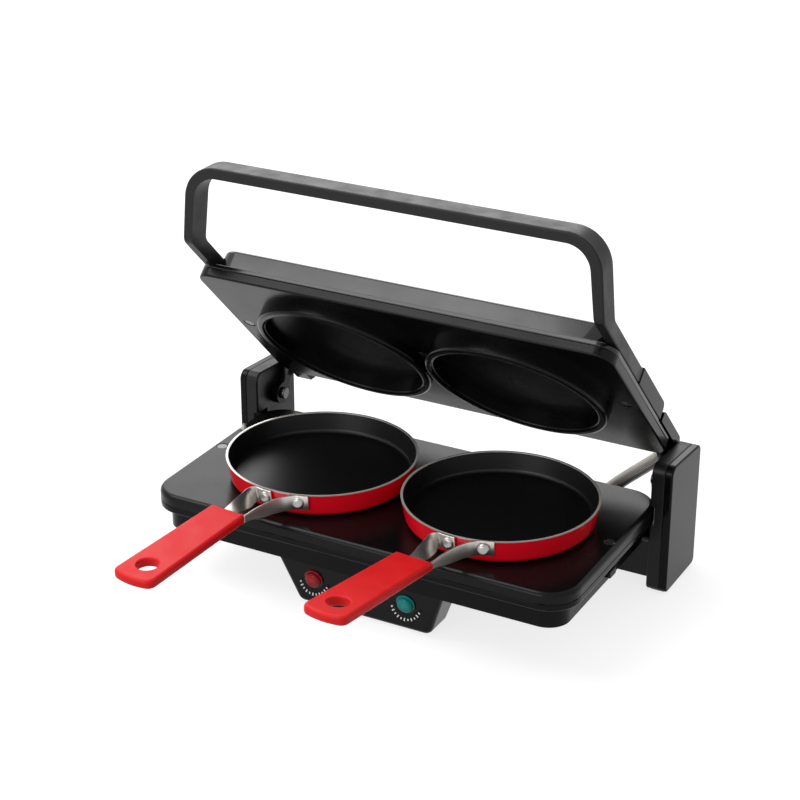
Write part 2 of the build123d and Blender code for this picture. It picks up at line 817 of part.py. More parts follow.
with BuildPart() as lower_shield:
    with BuildSketch(plate_plane.offset(plate_seam - shield_drop)):
        RectangleRounded(tray_width, tray_depth, plate_corner - rim_step - housing_wall)
    extrude(amount=shield_drop)
    with BuildSketch(plate_plane.offset(plate_seam)):
        RectangleRounded(shield_width, shield_depth, plate_corner - plate_lip)
    extrude(amount=shield_thickness)
    with BuildSketch(plate_plane.offset(plate_seam - shield_drop + shield_thickness)):
        RectangleRounded(tray_width, tray_depth, plate_corner - rim_step - housing_wall)
        offset(amount=-shield_thickness, mode=Mode.REPLACE)
    extrude(amount=shield_drop, mode=Mode.SUBTRACT)
    with BuildSketch(plate_plane.offset(plate_seam)):
        with Locations(*plate_screws):
            Circle(screw_shank_radius + cover_gap)
    extrude(amount=shield_thickness, mode=Mode.SUBTRACT)

lower_shield.part.label = "lower_shield"
export_step(lower_shield.part, "parts/lower_shield.step")

floor_level = housing_bottom + bottom_cover_thickness

with BuildPart() as thermostat:
    with BuildSketch(plate_plane.offset(floor_level)):
        with Locations(thermostat_place):
            Rectangle(thermostat_length, thermostat_width)
    extrude(amount=thermostat_height)
    fillet(thermostat.edges().filter_by(Axis.Z), small_round)
    with BuildSketch(plate_plane.offset(floor_level + thermostat_height)):
        with Locations(thermostat_place):
            Circle(button_radius)
    extrude(amount=button_height)
    with BuildSketch(plate_plane.offset(floor_level + thermostat_height)):
        with Locations(thermostat_place):
            with GridLocations(tab_spacing, 1, 2, 1):
                Rectangle(tab_thickness, tab_width)
    extrude(amount=tab_height)

thermostat.part.label = "thermostat"
export_step(thermostat.part, "parts/thermostat.step")

with BuildPart() as terminal_block:
    with BuildSketch(plate_plane.offset(floor_level)):
        with Locations(terminal_place):
            Rectangle(terminal_length, terminal_width)
    extrude(amount=terminal_height)
    with BuildSketch(plate_plane.offset(floor_level + terminal_floor)):
        with Locations(terminal_place):
            with GridLocations(terminal_pitch, 1, 3, 1):
                Circle(terminal_hole_radius)
    extrude(amount=terminal_height - terminal_floor, mode=Mode.SUBTRACT)
    with BuildSketch(plate_plane.offset(floor_level + terminal_height - terminal_groove)):
        with Locations(terminal_place):
            with GridLocations(terminal_pitch, 1, 2, 1):
                Rectangle(terminal_groove, terminal_width)
    extrude(amount=terminal_groove, mode=Mode.SUBTRACT)

terminal_block.part.label = "terminal_block"
export_step(terminal_block.part, "parts/terminal_block.step")

# Upper cooking plate with its two dished discs, drawn in the lid's own plane
lid_screw_x = lid_width / 2 - lid_screw_inset
side_screws = [(-lid_screw_x, lid_middle - lid_screw_offset), (lid_screw_x, lid_middle - lid_screw_offset)]
middle_screw = (0, lid_middle - lid_middle_screw_offset)
disc_spacing = 2 * disc_radius + disc_gap
lid_inner_width = lid_width - 2 * lid_lip
lid_inner_depth = lid_depth - 2 * lid_lip
disc_bottom = lid_face_height - disc_height

with BuildPart() as lid_plate:
    with BuildSketch(lid_plane.offset(lid_face_height)):
        with Locations((0, lid_middle)):
            RectangleRounded(lid_width, lid_depth, lid_corner)
    extrude(amount=lid_edge)
    fillet(lid_plate.faces().sort_by(lid_axis)[0].edges(), lid_edge_round)
    fillet(lid_plate.faces().sort_by(lid_axis)[-1].edges(), seam_round)
    with BuildSketch(lid_plane.offset(lid_face_height + lid_skin)):
        with Locations((0, lid_middle)):
            RectangleRounded(lid_inner_width, lid_inner_depth, lid_corner - lid_lip)
    extrude(amount=lid_edge - lid_skin, mode=Mode.SUBTRACT)
    with BuildSketch(lid_plane.offset(disc_bottom)):
        with Locations((0, lid_middle - disc_offset)):
            with GridLocations(disc_spacing, 1, 2, 1):
                Circle(disc_radius)
                Circle(disc_radius - disc_ring, mode=Mode.SUBTRACT)
    extrude(amount=disc_height)
    fillet(lid_plate.faces().sort_by(lid_axis)[0:2].edges(), disc_round)
    with BuildSketch(lid_plane.offset(disc_bottom + disc_dish)):
        with Locations((0, lid_middle - disc_offset)):
            with GridLocations(disc_spacing, 1, 2, 1):
                Circle(disc_radius - disc_ring)
    extrude(amount=disc_height - disc_dish)
    with BuildSketch(lid_plane.offset(lid_face_height + lid_skin)):
        with Locations(*side_screws):
            Circle(lid_boss_radius)
    extrude(amount=lid_edge - lid_skin - shield_thickness)
    with BuildSketch(lid_plane.offset(lid_face_height + lid_skin)):
        with Locations(middle_screw):
            Circle(lid_boss_radius)
    extrude(amount=lid_edge - lid_skin)
    with BuildSketch(lid_plane.offset(disc_bottom)):
        with Locations(*side_screws, middle_screw):
            Circle(screw_head_radius + bore_clearance)
    extrude(amount=disc_height + screw_seat, mode=Mode.SUBTRACT)
    with BuildSketch(lid_plane.offset(lid_face_height)):
        with Locations(*side_screws, middle_screw):
            Circle(screw_shank_radius + bore_clearance)
    extrude(amount=lid_edge, mode=Mode.SUBTRACT)

lid_plate.part.label = "lid_plate"
export_step(lid_plate.part, "parts/lid_plate.step")

# Lid cover: a flange on the plate and a shallow hood, hollow, with one screw column
hood_top_inset = cover_end_inset + cover_taper
hood_top_width = 2 * (cover_half_width - cover_side_taper)
hollow_width = hood_top_width - 2 * cover_wall
hollow_depth = lid_depth - 2 * (hood_top_inset + cover_wall)

with BuildPart() as lid_cover:
    with BuildSketch(lid_plane.offset(lid_seam)):
        with Locations((0, lid_middle)):
            RectangleRounded(lid_width, lid_depth, lid_corner)
    extrude(amount=cover_flange)
    fillet(lid_cover.faces().sort_by(lid_axis)[0].edges(), seam_round)
    fillet(lid_cover.faces().sort_by(lid_axis)[-1].edges(), seam_round)
    with BuildSketch(lid_plane.offset(flange_top)):
        with Locations((0, lid_middle)):
            RectangleRounded(2 * cover_half_width, lid_depth - 2 * cover_end_inset, cover_corner)
    with BuildSketch(lid_plane.offset(cover_top)):
        with Locations((0, lid_middle)):
            RectangleRounded(hood_top_width, lid_depth - 2 * hood_top_inset, cover_corner - cover_taper)
    loft()
    fillet(lid_cover.faces().sort_by(lid_axis)[-1].edges(), cover_edge_radius)
    with BuildSketch(lid_plane.offset(lid_seam)):
        with Locations((0, lid_middle)):
            RectangleRounded(hollow_width, hollow_depth, cover_corner - cover_taper - cover_wall)
    extrude(amount=cover_flange + cover_rise - cover_wall, mode=Mode.SUBTRACT)
    with BuildSketch(lid_plane.offset(lid_seam)):
        with Locations(middle_screw):
            Circle(lid_boss_radius)
    extrude(amount=cover_flange + cover_rise - cover_wall)
    with BuildSketch(lid_plane.offset(lid_seam)):
        with Locations(*side_screws, middle_screw):
            Circle(screw_shank_radius + bore_clearance)
    extrude(amount=cover_flange - 0.2, mode=Mode.SUBTRACT)

lid_cover.part.label = "lid_cover"
export_step(lid_cover.part, "parts/lid_cover.step")

with BuildPart() as upper_plate_screws:
    with BuildSketch(lid_plane.offset(lid_face_height + screw_seat - screw_head_height)):
        with Locations(*side_screws, middle_screw):
            Circle(screw_head_radius)
    extrude(amount=screw_head_height)
    fillet(upper_plate_screws.faces().group_by(lid_axis)[0].edges(), screw_head_round)
    with BuildSketch(lid_plane.offset(lid_face_height + screw_seat)):
        with Locations(*side_screws, middle_screw):
            Circle(screw_shank_radius)
    extrude(amount=lid_edge - screw_seat + cover_flange - 0.4)

upper_plate_screws.part.label = "upper_plate_screws"
export_step(upper_plate_screws.part, "parts/upper_plate_screws.step")

upper_element_plane = lid_plane.offset(lid_face_height + lid_skin + element_seat + element_radius)

with BuildPart() as upper_element:
    with BuildLine(upper_element_plane) as upper_loop:
        FilletPolyline(
            (-element_gap / 2, lid_middle + element_half_depth),
            (-element_half_width, lid_middle + element_half_depth),
            (-element_half_width, lid_middle - element_half_depth),
            (element_half_width, lid_middle - element_half_depth),
            (element_half_width, lid_middle + element_half_depth),
            (element_gap / 2, lid_middle + element_half_depth),
            radius=element_bend,
        )
    with BuildSketch(Plane(origin=upper_loop.line @ 0, z_dir=upper_loop.line % 0)):
        Circle(element_radius)
    sweep()
    with BuildSketch(Plane(origin=upper_loop.line @ 0, z_dir=(1, 0, 0))):
        Circle(element_pin_radius)
    extrude(amount=element_pin_length)
    with BuildSketch(Plane(origin=upper_loop.line @ 1, z_dir=(-1, 0, 0))):
        Circle(element_pin_radius)
    extrude(amount=element_pin_length)

upper_element.part.label = "upper_element"
export_step(upper_element.part, "parts/upper_element.step")

hood_width = hollow_width - 2 * hood_side_margin
hood_depth = hollow_depth - 2 * tray_margin

with BuildPart() as upper_shield:
    with BuildSketch(lid_plane.offset(lid_seam - shield_thickness)):
        with Locations((0, lid_middle)):
            RectangleRounded(hood_width, hood_depth, hood_corner)
    extrude(amount=shield_drop + shield_thickness)
    with BuildSketch(lid_plane.offset(lid_seam - shield_thickness)):
        with Locations((0, lid_middle)):
            RectangleRounded(lid_inner_width, lid_inner_depth, lid_corner - lid_lip)
            offset(amount=-cover_gap, mode=Mode.REPLACE)
    extrude(amount=shield_thickness)
    with BuildSketch(lid_plane.offset(lid_seam - shield_thickness)):
        with Locations((0, lid_middle)):
            RectangleRounded(hood_width, hood_depth, hood_corner)
            offset(amount=-shield_thickness, mode=Mode.REPLACE)
    extrude(amount=shield_drop, mode=Mode.SUBTRACT)
    with BuildSketch(lid_plane.offset(lid_seam - shield_thickness)):
        with Locations(*side_screws):
            Circle(screw_shank_radius + cover_gap)
        with Locations(middle_screw):
            Circle(lid_boss_radius + cover_gap)
    extrude(amount=shield_drop + shield_thickness, mode=Mode.SUBTRACT)

upper_shield.part.label = "upper_shield"
export_step(upper_shield.part, "parts/upper_shield.step")

# Hinge arms: a hub on the pin, a neck behind the plate's corner and a foot on the cover's flange
arch_middle = (ear_back - ear_arch_radius, ear_top - ear_arch_radius)

with BuildPart() as ear_right:
    with BuildSketch(lid_side(ear_inner_face)) as ear_profile:
        Circle(ear_hub_radius)
        with Locations(((ear_neck_back - ear_neck_front) / 2, arch_middle[1] / 2)):
            Rectangle(ear_neck_back + ear_neck_front, arch_middle[1])
        with Locations(arch_middle):
            Circle(ear_arch_radius)
        with BuildLine():
            Polyline(
                (-ear_reach, flange_top),
                (arch_middle[0], flange_top),
                (arch_middle[0], ear_top),
                (-ear_reach, ear_top),
                close=True,
            )
        make_face()
        with Locations((-ear_neck_front - ear_reach, 0)):
            Rectangle(2 * ear_reach, 2 * flange_top, mode=Mode.SUBTRACT)
        Circle(ear_hub_radius)
        fillet(ear_profile.vertices().sort_by_distance((-ear_reach, ear_top))[0], ear_end_round)
        Circle(pin_radius + bore_clearance, mode=Mode.SUBTRACT)
    extrude(amount=ear_thickness)

# The left arm also has a stop block beside it, on the side where no conduit passes
stop_inner = stop_width - ear_inner_face

with BuildPart() as ear_left:
    mirror(ear_right.part, about=Plane.YZ)
    with BuildSketch(lid_side(-ear_inner_face)):
        with Locations((stop_reach / 2, stop_start + stop_height / 2)):
            Rectangle(stop_reach, stop_height)
    extrude(amount=stop_width)
    stop_corner = Vector(stop_inner, *lid_point(stop_reach, stop_start))
    chamfer(ear_left.edges().sort_by_distance(stop_corner)[0], stop_bevel)

ear_right.part.label = "ear_right"
ear_left.part.label = "ear_left"
export_step(ear_right.part, "parts/ear_right.step")
export_step(ear_left.part, "parts/ear_left.step")

# Brackets: blocks on the flange beside the hood that hold the ends of the handle
arm_inner_face = cover_half_width + arm_side_gap
arm_outer_face = arm_inner_face + arm_thickness
arm_middle_height = flange_top + handle_drop + arm_height / 2
bracket_back = -ear_reach - bracket_gap
arm_start = bracket_back - bracket_length

with BuildPart() as bracket_right:
    with BuildSketch(lid_side(arm_inner_face)) as bracket_profile:
        with Locations(((arm_start + bracket_back) / 2, flange_top + bracket_height / 2)):
            Rectangle(bracket_length, bracket_height)
        back_corner = (bracket_back, flange_top + bracket_height)
        front_corner = (arm_start, flange_top + bracket_height)
        fillet(bracket_profile.vertices().sort_by_distance(back_corner)[0], bracket_back_round)
        fillet(bracket_profile.vertices().sort_by_distance(front_corner)[0], bracket_front_round)
    extrude(amount=arm_thickness + bracket_overlap)
    fillet(bracket_right.faces().sort_by(Axis.X)[-1].edges(), small_round)
    with BuildSketch(lid_side(arm_inner_face + (arm_thickness - tang_thickness) / 2 - tang_clearance)):
        with Locations((arm_start + tang_length / 2, arm_middle_height)):
            Rectangle(tang_length + 2 * tang_clearance, tang_height + 2 * tang_clearance)
    extrude(amount=tang_thickness + 2 * tang_clearance, mode=Mode.SUBTRACT)

with BuildPart() as bracket_left:
    mirror(bracket_right.part, about=Plane.YZ)

bracket_right.part.label = "bracket_right"
bracket_left.part.label = "bracket_left"
export_step(bracket_right.part, "parts/bracket_right.step")
export_step(bracket_left.part, "parts/bracket_left.step")


# Handle: two arms along the lid and a broad strip across, upright while the lid is open
kink_y, kink_z = lid_point(-lid_back - lid_depth - handle_overhang, arm_middle_height)
arm_under = arm_middle_height - arm_height / 2
arm_over = arm_middle_height + arm_height / 2
bar_front = kink_y - handle_band / 2
bar_back = kink_y + handle_band / 2
bar_top = kink_z + handle_rise
under_reach = (bar_front - hinge_y - arm_under * sin(hinge_angle)) / cos(hinge_angle)
over_reach = (bar_back - hinge_y - arm_over * sin(hinge_angle)) / cos(hinge_angle)
bar_half = arm_outer_face - handle_taper
opening_half = bar_half - handle_strip
opening_top = bar_top - handle_strip
opening_corner = handle_corner - handle_strip

with BuildPart() as handle:
    with BuildSketch(Plane.YZ) as handle_side:
        with BuildLine():
            Polyline(
                lid_point(arm_start, arm_under),
                lid_point(under_reach, arm_under),
                (bar_front, bar_top),
                (bar_back, bar_top),
                lid_point(over_reach, arm_over),
                lid_point(arm_start, arm_over),
                close=True,
            )
        make_face()
        fillet(handle_side.vertices().sort_by_distance(lid_point(under_reach, arm_under))[0], kink_radius)
        fillet(handle_side.vertices().sort_by_distance(lid_point(over_reach, arm_over))[0], kink_radius)
    extrude(amount=plate_width, both=True)
    with BuildSketch(Plane.XZ):
        with BuildLine():
            FilletPolyline(
                (-arm_outer_face, 0),
                (-arm_outer_face, kink_z),
                (-bar_half, bar_top),
                (bar_half, bar_top),
                (arm_outer_face, kink_z),
                (arm_outer_face, 0),
                radius=[handle_side_bend, handle_corner, handle_corner, handle_side_bend],
            )
            Line((arm_outer_face, 0), (-arm_outer_face, 0))
        make_face()
        with BuildLine():
            FilletPolyline(
                (-arm_inner_face, 0),
                (-arm_inner_face, kink_z),
                (-opening_half, opening_top),
                (opening_half, opening_top),
                (arm_inner_face, kink_z),
                (arm_inner_face, 0),
                radius=[handle_side_bend, opening_corner, opening_corner, handle_side_bend],
            )
            Line((arm_inner_face, 0), (-arm_inner_face, 0))
        make_face(mode=Mode.SUBTRACT)
    extrude(amount=2 * plate_width, both=True, mode=Mode.INTERSECT)
    fillet(handle.edges().filter_by(Axis.X).group_by(Axis.Z)[-1], handle_edge_radius)
    for side in (-1, 1):
        with BuildSketch(lid_side(side * (arm_inner_face + arm_thickness / 2))):
            with Locations((arm_start + tang_length / 2, arm_middle_height)):
                Rectangle(tang_length, tang_height)
        extrude(amount=tang_thickness / 2, both=True)

handle.part.label = "handle"
export_step(handle.part, "parts/handle.step")

# Pans with strap, rivets and grip
strap_middle_radius = pan_radius + strap_gap + strap_thickness / 2
strap_bottom = strap_top - strap_height
grip_start = pan_radius + grip_distance
pan_kinds = [("left", pan_left_place, grip_left_angle), ("right", pan_right_place, grip_right_angle)]


def on_wall(angle):
    """The point of the strap's flange at this angle from the grip's axis."""
    return (strap_middle_radius * sin(radians(angle)), -strap_middle_radius * cos(radians(angle)))


for pan_side, pan_place, grip_angle in pan_kinds:
    pan_origin = Vector(pan_place[0], plate_middle + pan_place[1], plate_top + pan_seat_gap)
    pan_axis = Axis(pan_origin, (0, 0, 1))
    pan_section = Plane(origin=pan_origin, x_dir=(1, 0, 0), z_dir=(0, -1, 0))
    grip_plane = Plane(
        origin=pan_origin, x_dir=(cos(radians(grip_turn)), -sin(radians(grip_turn)), 0), z_dir=(0, 0, 1)
    )
    leg_plane = Plane(origin=pan_origin, x_dir=-grip_plane.y_dir, z_dir=-grip_plane.x_dir)
    grip_root = grip_plane.from_local_coords((0, -grip_start, grip_top - grip_thickness / 2))
    root_plane = Plane(origin=grip_root, x_dir=grip_plane.x_dir, z_dir=(0, 0, 1))
    sleeve_plane = root_plane.rotated((-grip_angle, 0, 0))
    sleeve_axis = Axis(grip_root, sleeve_plane.z_dir)
    rivet_planes = [
        Plane(
            origin=pan_origin + Vector(0, 0, strap_top - strap_height / 2),
            x_dir=(cos(radians(angle)), sin(radians(angle)), 0),
            z_dir=(sin(radians(angle)), -cos(radians(angle)), 0),
        )
        for angle in rivet_angles
    ]

    with BuildPart() as pan_body:
        with BuildSketch(pan_section) as pan_profile:
            with BuildLine():
                Polyline(
                    (0, 0),
                    (pan_radius - pan_taper, 0),
                    (pan_radius, pan_height),
                    (pan_radius - pan_wall, pan_height),
                    (pan_radius - pan_taper - pan_wall, pan_floor),
                    (0, pan_floor),
                    close=True,
                )
            make_face()
            outer_corner = (pan_radius - pan_taper, 0)
            inner_corner = (pan_radius - pan_taper - pan_wall, pan_floor)
            fillet(pan_profile.vertices().sort_by_distance(outer_corner)[0], pan_base_round)
            fillet(pan_profile.vertices().sort_by_distance(inner_corner)[0], pan_base_round - pan_wall)
        revolve(axis=pan_axis)
        for rivet_plane in rivet_planes:
            with BuildSketch(rivet_plane):
                Circle(rivet_shank_radius + bore_clearance)
            extrude(amount=2 * pan_radius, mode=Mode.SUBTRACT)
    pan_body.part.label = f"pan_{pan_side}"
    export_step(pan_body.part, f"parts/pan_{pan_side}.step")

    # the strap: a flange along the wall, two legs that narrow to the grip and a flat tang inside it
    with BuildPart() as strap:
        with BuildSketch(grip_plane.offset(strap_bottom)):
            with BuildLine():
                CenterArc(
                    (0, 0),
                    strap_middle_radius,
                    strap_left_angle + grip_turn - 90,
                    strap_right_angle - strap_left_angle,
                )
            trace(line_width=strap_thickness)
            with BuildLine():
                Line((leg_left_root, -grip_start), on_wall(strap_left_angle + grip_turn + 0.6))
            trace(line_width=strap_thickness)
            along_wall = (cos(radians(leg_right_landing)), sin(radians(leg_right_landing)))
            with BuildLine():
                right_leg = Spline(
                    (leg_right_root, -pan_radius - leg_bend_start),
                    (leg_right_root + leg_bend_shift, -pan_radius - leg_bend_end),
                    on_wall(leg_right_landing),
                    tangents=((0, 1), along_wall),
                )
                Line((leg_right_root, -grip_start), right_leg @ 0)
            trace(line_width=strap_thickness)
        extrude(amount=strap_height)
        end_x, end_y = on_wall(strap_right_angle + grip_turn)
        for end_height in (strap_bottom, strap_top):
            end_corner = grip_plane.from_local_coords((end_x, end_y, end_height))
            fillet(strap.edges().sort_by_distance(end_corner)[0], strap_end_round)
        with BuildSketch(leg_plane):
            with BuildLine():
                Polyline(
                    (grip_start - leg_slope, strap_bottom),
                    (grip_start, strap_bottom + leg_rise),
                    (grip_start + strap_thickness, strap_bottom + leg_rise),
                    (grip_start + strap_thickness, strap_bottom),
                    close=True,
                )
            make_face()
        extrude(amount=pan_radius, both=True, mode=Mode.SUBTRACT)
        with BuildSketch(sleeve_plane):
            with Locations((grip_shift, -tang_plate_length / 2)):
                Rectangle(tang_plate_width, tang_plate_length)
            with Locations(((leg_left_root + leg_right_root) / 2, tang_plate / 2)):
                Rectangle(leg_right_root - leg_left_root, tang_plate)
        extrude(amount=tang_plate / 2, both=True)
        for rivet_plane in rivet_planes:
            with BuildSketch(rivet_plane):
                Circle(rivet_shank_radius + bore_clearance)
            extrude(amount=2 * pan_radius, mode=Mode.SUBTRACT)
    strap.part.label = f"strap_{pan_side}"
    export_step(strap.part, f"parts/strap_{pan_side}.step")

    with BuildPart() as rivets:
        for rivet_plane in rivet_planes:
            with BuildSketch(rivet_plane.offset(strap_middle_radius + strap_thickness / 2)):
                Circle(rivet_radius)
            extrude(amount=rivet_height)
            fillet(rivets.faces().sort_by(Axis(pan_origin, rivet_plane.z_dir))[-1].edges(), rivet_round)
            with BuildSketch(rivet_plane.offset(pan_radius - inner_head_depth - inner_head_height)):
                Circle(inner_head_radius)
            extrude(amount=inner_head_height)
            with BuildSketch(rivet_plane.offset(pan_radius - inner_head_depth)):
                Circle(rivet_shank_radius)
            extrude(amount=strap_middle_radius + strap_thickness / 2 - pan_radius + inner_head_depth)
    rivets.part.label = f"rivets_{pan_side}"
    export_step(rivets.part, f"parts/rivets_{pan_side}.step")

    # the grip: a soft sleeve with a hole to hang the pan by
    with BuildPart() as grip:
        with BuildSketch(sleeve_plane) as grip_outline:
            with BuildLine():
                Polyline(
                    (grip_shift - grip_tip_width / 2, grip_bulge - grip_length),
                    (grip_shift - grip_root_width / 2, -grip_end_gap),
                    (grip_shift + grip_root_width / 2, -grip_end_gap),
                    (grip_shift + grip_tip_width / 2, grip_bulge - grip_length),
                )
                ThreePointArc(
                    (grip_shift + grip_tip_width / 2, grip_bulge - grip_length),
                    (grip_shift, -grip_length),
                    (grip_shift - grip_tip_width / 2, grip_bulge - grip_length),
                )
            make_face()
            fillet(grip_outline.vertices().group_by(Axis.Y)[0], grip_corner)
        extrude(amount=grip_thickness / 2, both=True)
        fillet(grip.faces().sort_by(sleeve_axis)[-1].edges(), grip_round)
        fillet(grip.faces().sort_by(sleeve_axis)[0].edges(), grip_round)
        with BuildSketch(sleeve_plane):
            with Locations((grip_shift, grip_hole_inset - grip_length)):
                Circle(grip_hole_radius)
        extrude(amount=grip_thickness, both=True, mode=Mode.SUBTRACT)
        hole_edges = grip.edges().filter_by(GeomType.CIRCLE).filter_by(lambda edge: edge.is_closed)
        fillet(hole_edges, grip_hole_round)
        with BuildSketch(sleeve_plane):
            with Locations((grip_shift, -tang_plate_length / 2)):
                Rectangle(tang_plate_width + 2 * tang_clearance, tang_plate_length + 2 * tang_clearance)
        extrude(amount=tang_plate / 2 + tang_clearance, both=True, mode=Mode.SUBTRACT)
    grip.part.label = f"grip_{pan_side}"
    export_step(grip.part, f"parts/grip_{pan_side}.step")
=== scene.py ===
"""Dresses the contact grill: finishes, the pans' straps, printed ticks, the braided sleeve and the stage."""

import math

import bmesh
import bpy
from bpy.props import FloatProperty, FloatVectorProperty, IntProperty, PointerProperty, StringProperty
from mathutils import Matrix, Vector
from mathutils.geometry import interpolate_bezier


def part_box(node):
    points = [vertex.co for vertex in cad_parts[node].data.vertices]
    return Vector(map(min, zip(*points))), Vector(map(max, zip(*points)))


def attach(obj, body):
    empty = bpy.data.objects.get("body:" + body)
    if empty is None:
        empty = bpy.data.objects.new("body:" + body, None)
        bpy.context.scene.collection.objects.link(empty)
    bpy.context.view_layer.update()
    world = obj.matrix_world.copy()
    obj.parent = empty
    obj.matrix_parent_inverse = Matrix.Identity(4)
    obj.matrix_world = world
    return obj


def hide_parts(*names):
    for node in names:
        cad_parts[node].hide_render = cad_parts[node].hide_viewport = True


bl_info = {
    "name": "Contact Grill Dressing",
    "version": (1, 0, 0),
    "blender": (4, 2, 0),
    "location": "View3D > Sidebar > Grill",
    "description": "Finishes, small details and a studio for the contact grill",
    "category": "Object",
}

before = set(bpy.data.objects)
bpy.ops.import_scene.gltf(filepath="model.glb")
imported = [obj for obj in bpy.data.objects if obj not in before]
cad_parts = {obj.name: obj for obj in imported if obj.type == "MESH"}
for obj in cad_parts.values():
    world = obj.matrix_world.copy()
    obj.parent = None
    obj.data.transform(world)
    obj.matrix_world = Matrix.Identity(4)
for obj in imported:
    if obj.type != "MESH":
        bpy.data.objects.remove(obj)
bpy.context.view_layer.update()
MM = 0.001

# Heights and radii of the pans, in metres: the wall leans out, and the bare rim is its top edge
PAN_BASE, PAN_FLOOR, PAN_RIM, PAN_TOP = 0.0621, 0.0633, 0.0785, 0.0789
PAN_WALL_AT_BASE, PAN_WALL_AT_TOP = 0.0610, 0.0642

# The foot's leaning face, in metres: its height, how far it leans over that height, and the lamps' height
FOOT_HEIGHT, FOOT_LEAN, FOOT_TOP, LAMP_HEIGHT = 0.033, 0.0065, 0.034, 0.023

# The pans' straps, as (to the right, out from the pan, up) in millimetres from the middle of the pan's base:
# the middle of the strip, then half of its width
STRAP_LEFT_LEG = (
    ((1.6, 104.0, 15.3), (5.2, 0.0, 0.0)),
    ((1.2, 98.0, 15.4), (5.2, 0.0, -0.4)),
    ((-0.8, 89.0, 14.4), (4.7, 0.0, -2.4)),
    ((-3.6, 79.0, 13.0), (3.8, 0.0, -4.0)),
    ((-6.2, 70.5, 12.1), (2.4, -0.5, -5.0)),
)
STRAP_RIGHT_LEG = (
    ((13.4, 104.0, 15.3), (0.0, 0.0, -2.4)),
    ((13.5, 98.0, 15.0), (0.0, 0.0, -2.8)),
    ((13.7, 91.0, 14.2), (0.0, 0.0, -3.8)),
    ((14.1, 84.0, 13.2), (0.0, 0.0, -4.6)),
    ((15.2, 76.0, 12.5), (0.0, -0.3, -5.1)),
    ((17.0, 69.5, 12.1), (0.0, -0.7, -5.4)),
    ((19.6, 64.8, 12.0), (0.0, -1.0, -5.4)),
)
# where the strip lies along the pan: its radius and height in millimetres, and the angles of its stations
STRAP_WALL_RADIUS, STRAP_WALL_HEIGHT = 65.3, 12.0
STRAP_LEFT_ANGLES = (-4.5, -1.0, 2.5, 6.0)
STRAP_RIGHT_ANGLES = (20.0, 23.0, 26.0, 28.0)

# The sleeve's bezier handles, in metres from the conduit's ends
SLEEVE_START_HANDLE = (0.006, 0.0015, 0.010)
SLEEVE_END_HANDLE = (-0.014, -0.003, -0.013)


# Colours and node helpers
def linear_colour(hex_code):
    """Turns an sRGB hex code into a linear colour with alpha 1."""
    channels = [int(hex_code[i : i + 2], 16) / 255 for i in (1, 3, 5)]
    return tuple(c / 12.92 if c <= 0.04045 else ((c + 0.055) / 1.055) ** 2.4 for c in channels) + (1.0,)


def add_node(tree, kind, settings=None, inputs=None, links=None):
    """Adds a node, sets its properties and input values, and links its inputs to other nodes' outputs."""
    node = tree.nodes.new(kind)
    for name, value in (settings or {}).items():
        setattr(node, name, value)
    for name, value in (inputs or {}).items():
        node.inputs[name].default_value = value
    for name, socket in (links or {}).items():
        tree.links.new(socket, node.inputs[name])
    return node


def new_finish(name, **shader_values):
    """A material with an empty tree, its shader and its output. Returns material, tree and shader."""
    material = bpy.data.materials.new(name)
    material.use_nodes = True
    tree = material.node_tree
    tree.nodes.clear()
    shader = add_node(tree, "ShaderNodeBsdfPrincipled")
    for socket, value in shader_values.items():
        shader.inputs[socket.replace("_", " ")].default_value = value
    add_node(tree, "ShaderNodeOutputMaterial", links={"Surface": shader.outputs["BSDF"]})
    return material, tree, shader


def object_position(tree):
    """The Object coordinate, in metres, as an output socket."""
    return add_node(tree, "ShaderNodeTexCoord").outputs["Object"]


def grain(tree, size_mm, detail=2.0, stretch=(1, 1, 1)):
    """A noise whose blobs are about size_mm across, as an output socket from 0 to 1."""
    mapping = add_node(
        tree, "ShaderNodeMapping", inputs={"Scale": stretch}, links={"Vector": object_position(tree)}
    )
    return add_node(
        tree,
        "ShaderNodeTexNoise",
        inputs={"Scale": 1 / (size_mm * MM), "Detail": detail},
        links={"Vector": mapping.outputs["Vector"]},
    ).outputs["Fac"]


def spread(tree, value, low, high, from_low=0.3, from_high=0.7):
    """Maps a 0 to 1 pattern onto low to high, as an output socket."""
    return add_node(
        tree,
        "ShaderNodeMapRange",
        inputs={"From Min": from_low, "From Max": from_high, "To Min": low, "To Max": high},
        links={"Value": value},
    ).outputs["Result"]


def blend_colours(tree, factor, first, second):
    """Mixes two hex colours by a 0 to 1 pattern, as an output socket."""
    mix = add_node(
        tree,
        "ShaderNodeMix",
        settings={"data_type": "RGBA"},
        links={"Factor": factor},
    )
    mix.inputs[6].default_value = linear_colour(first)
    mix.inputs[7].default_value = linear_colour(second)
    return mix.outputs[2]


def raise_bumps(tree, shader, height, depth_mm, strength=1.0):
    """Lets a pattern stand out of the surface by depth_mm."""
    bump = add_node(
        tree,
        "ShaderNodeBump",
        inputs={"Distance": depth_mm * MM, "Strength": strength},
        links={"Height": height},
    )
    tree.links.new(bump.outputs["Normal"], shader.inputs["Normal"])


# Finishes
def glossy_abs(name="moulded glossy black ABS", shine=0.1):
    """Injection-moulded glossy ABS: nearly black, a clear even shine, with faint handling marks."""
    material, tree, shader = new_finish(name, IOR=1.5, Specular_IOR_Level=shine)
    smears = grain(tree, 18, 3)
    tree.links.new(blend_colours(tree, smears, "#060607", "#0B0B0D"), shader.inputs["Base Color"])
    tree.links.new(spread(tree, smears, 0.12, 0.18), shader.inputs["Roughness"])
    raise_bumps(tree, shader, grain(tree, 14, 1), 0.012)
    return material


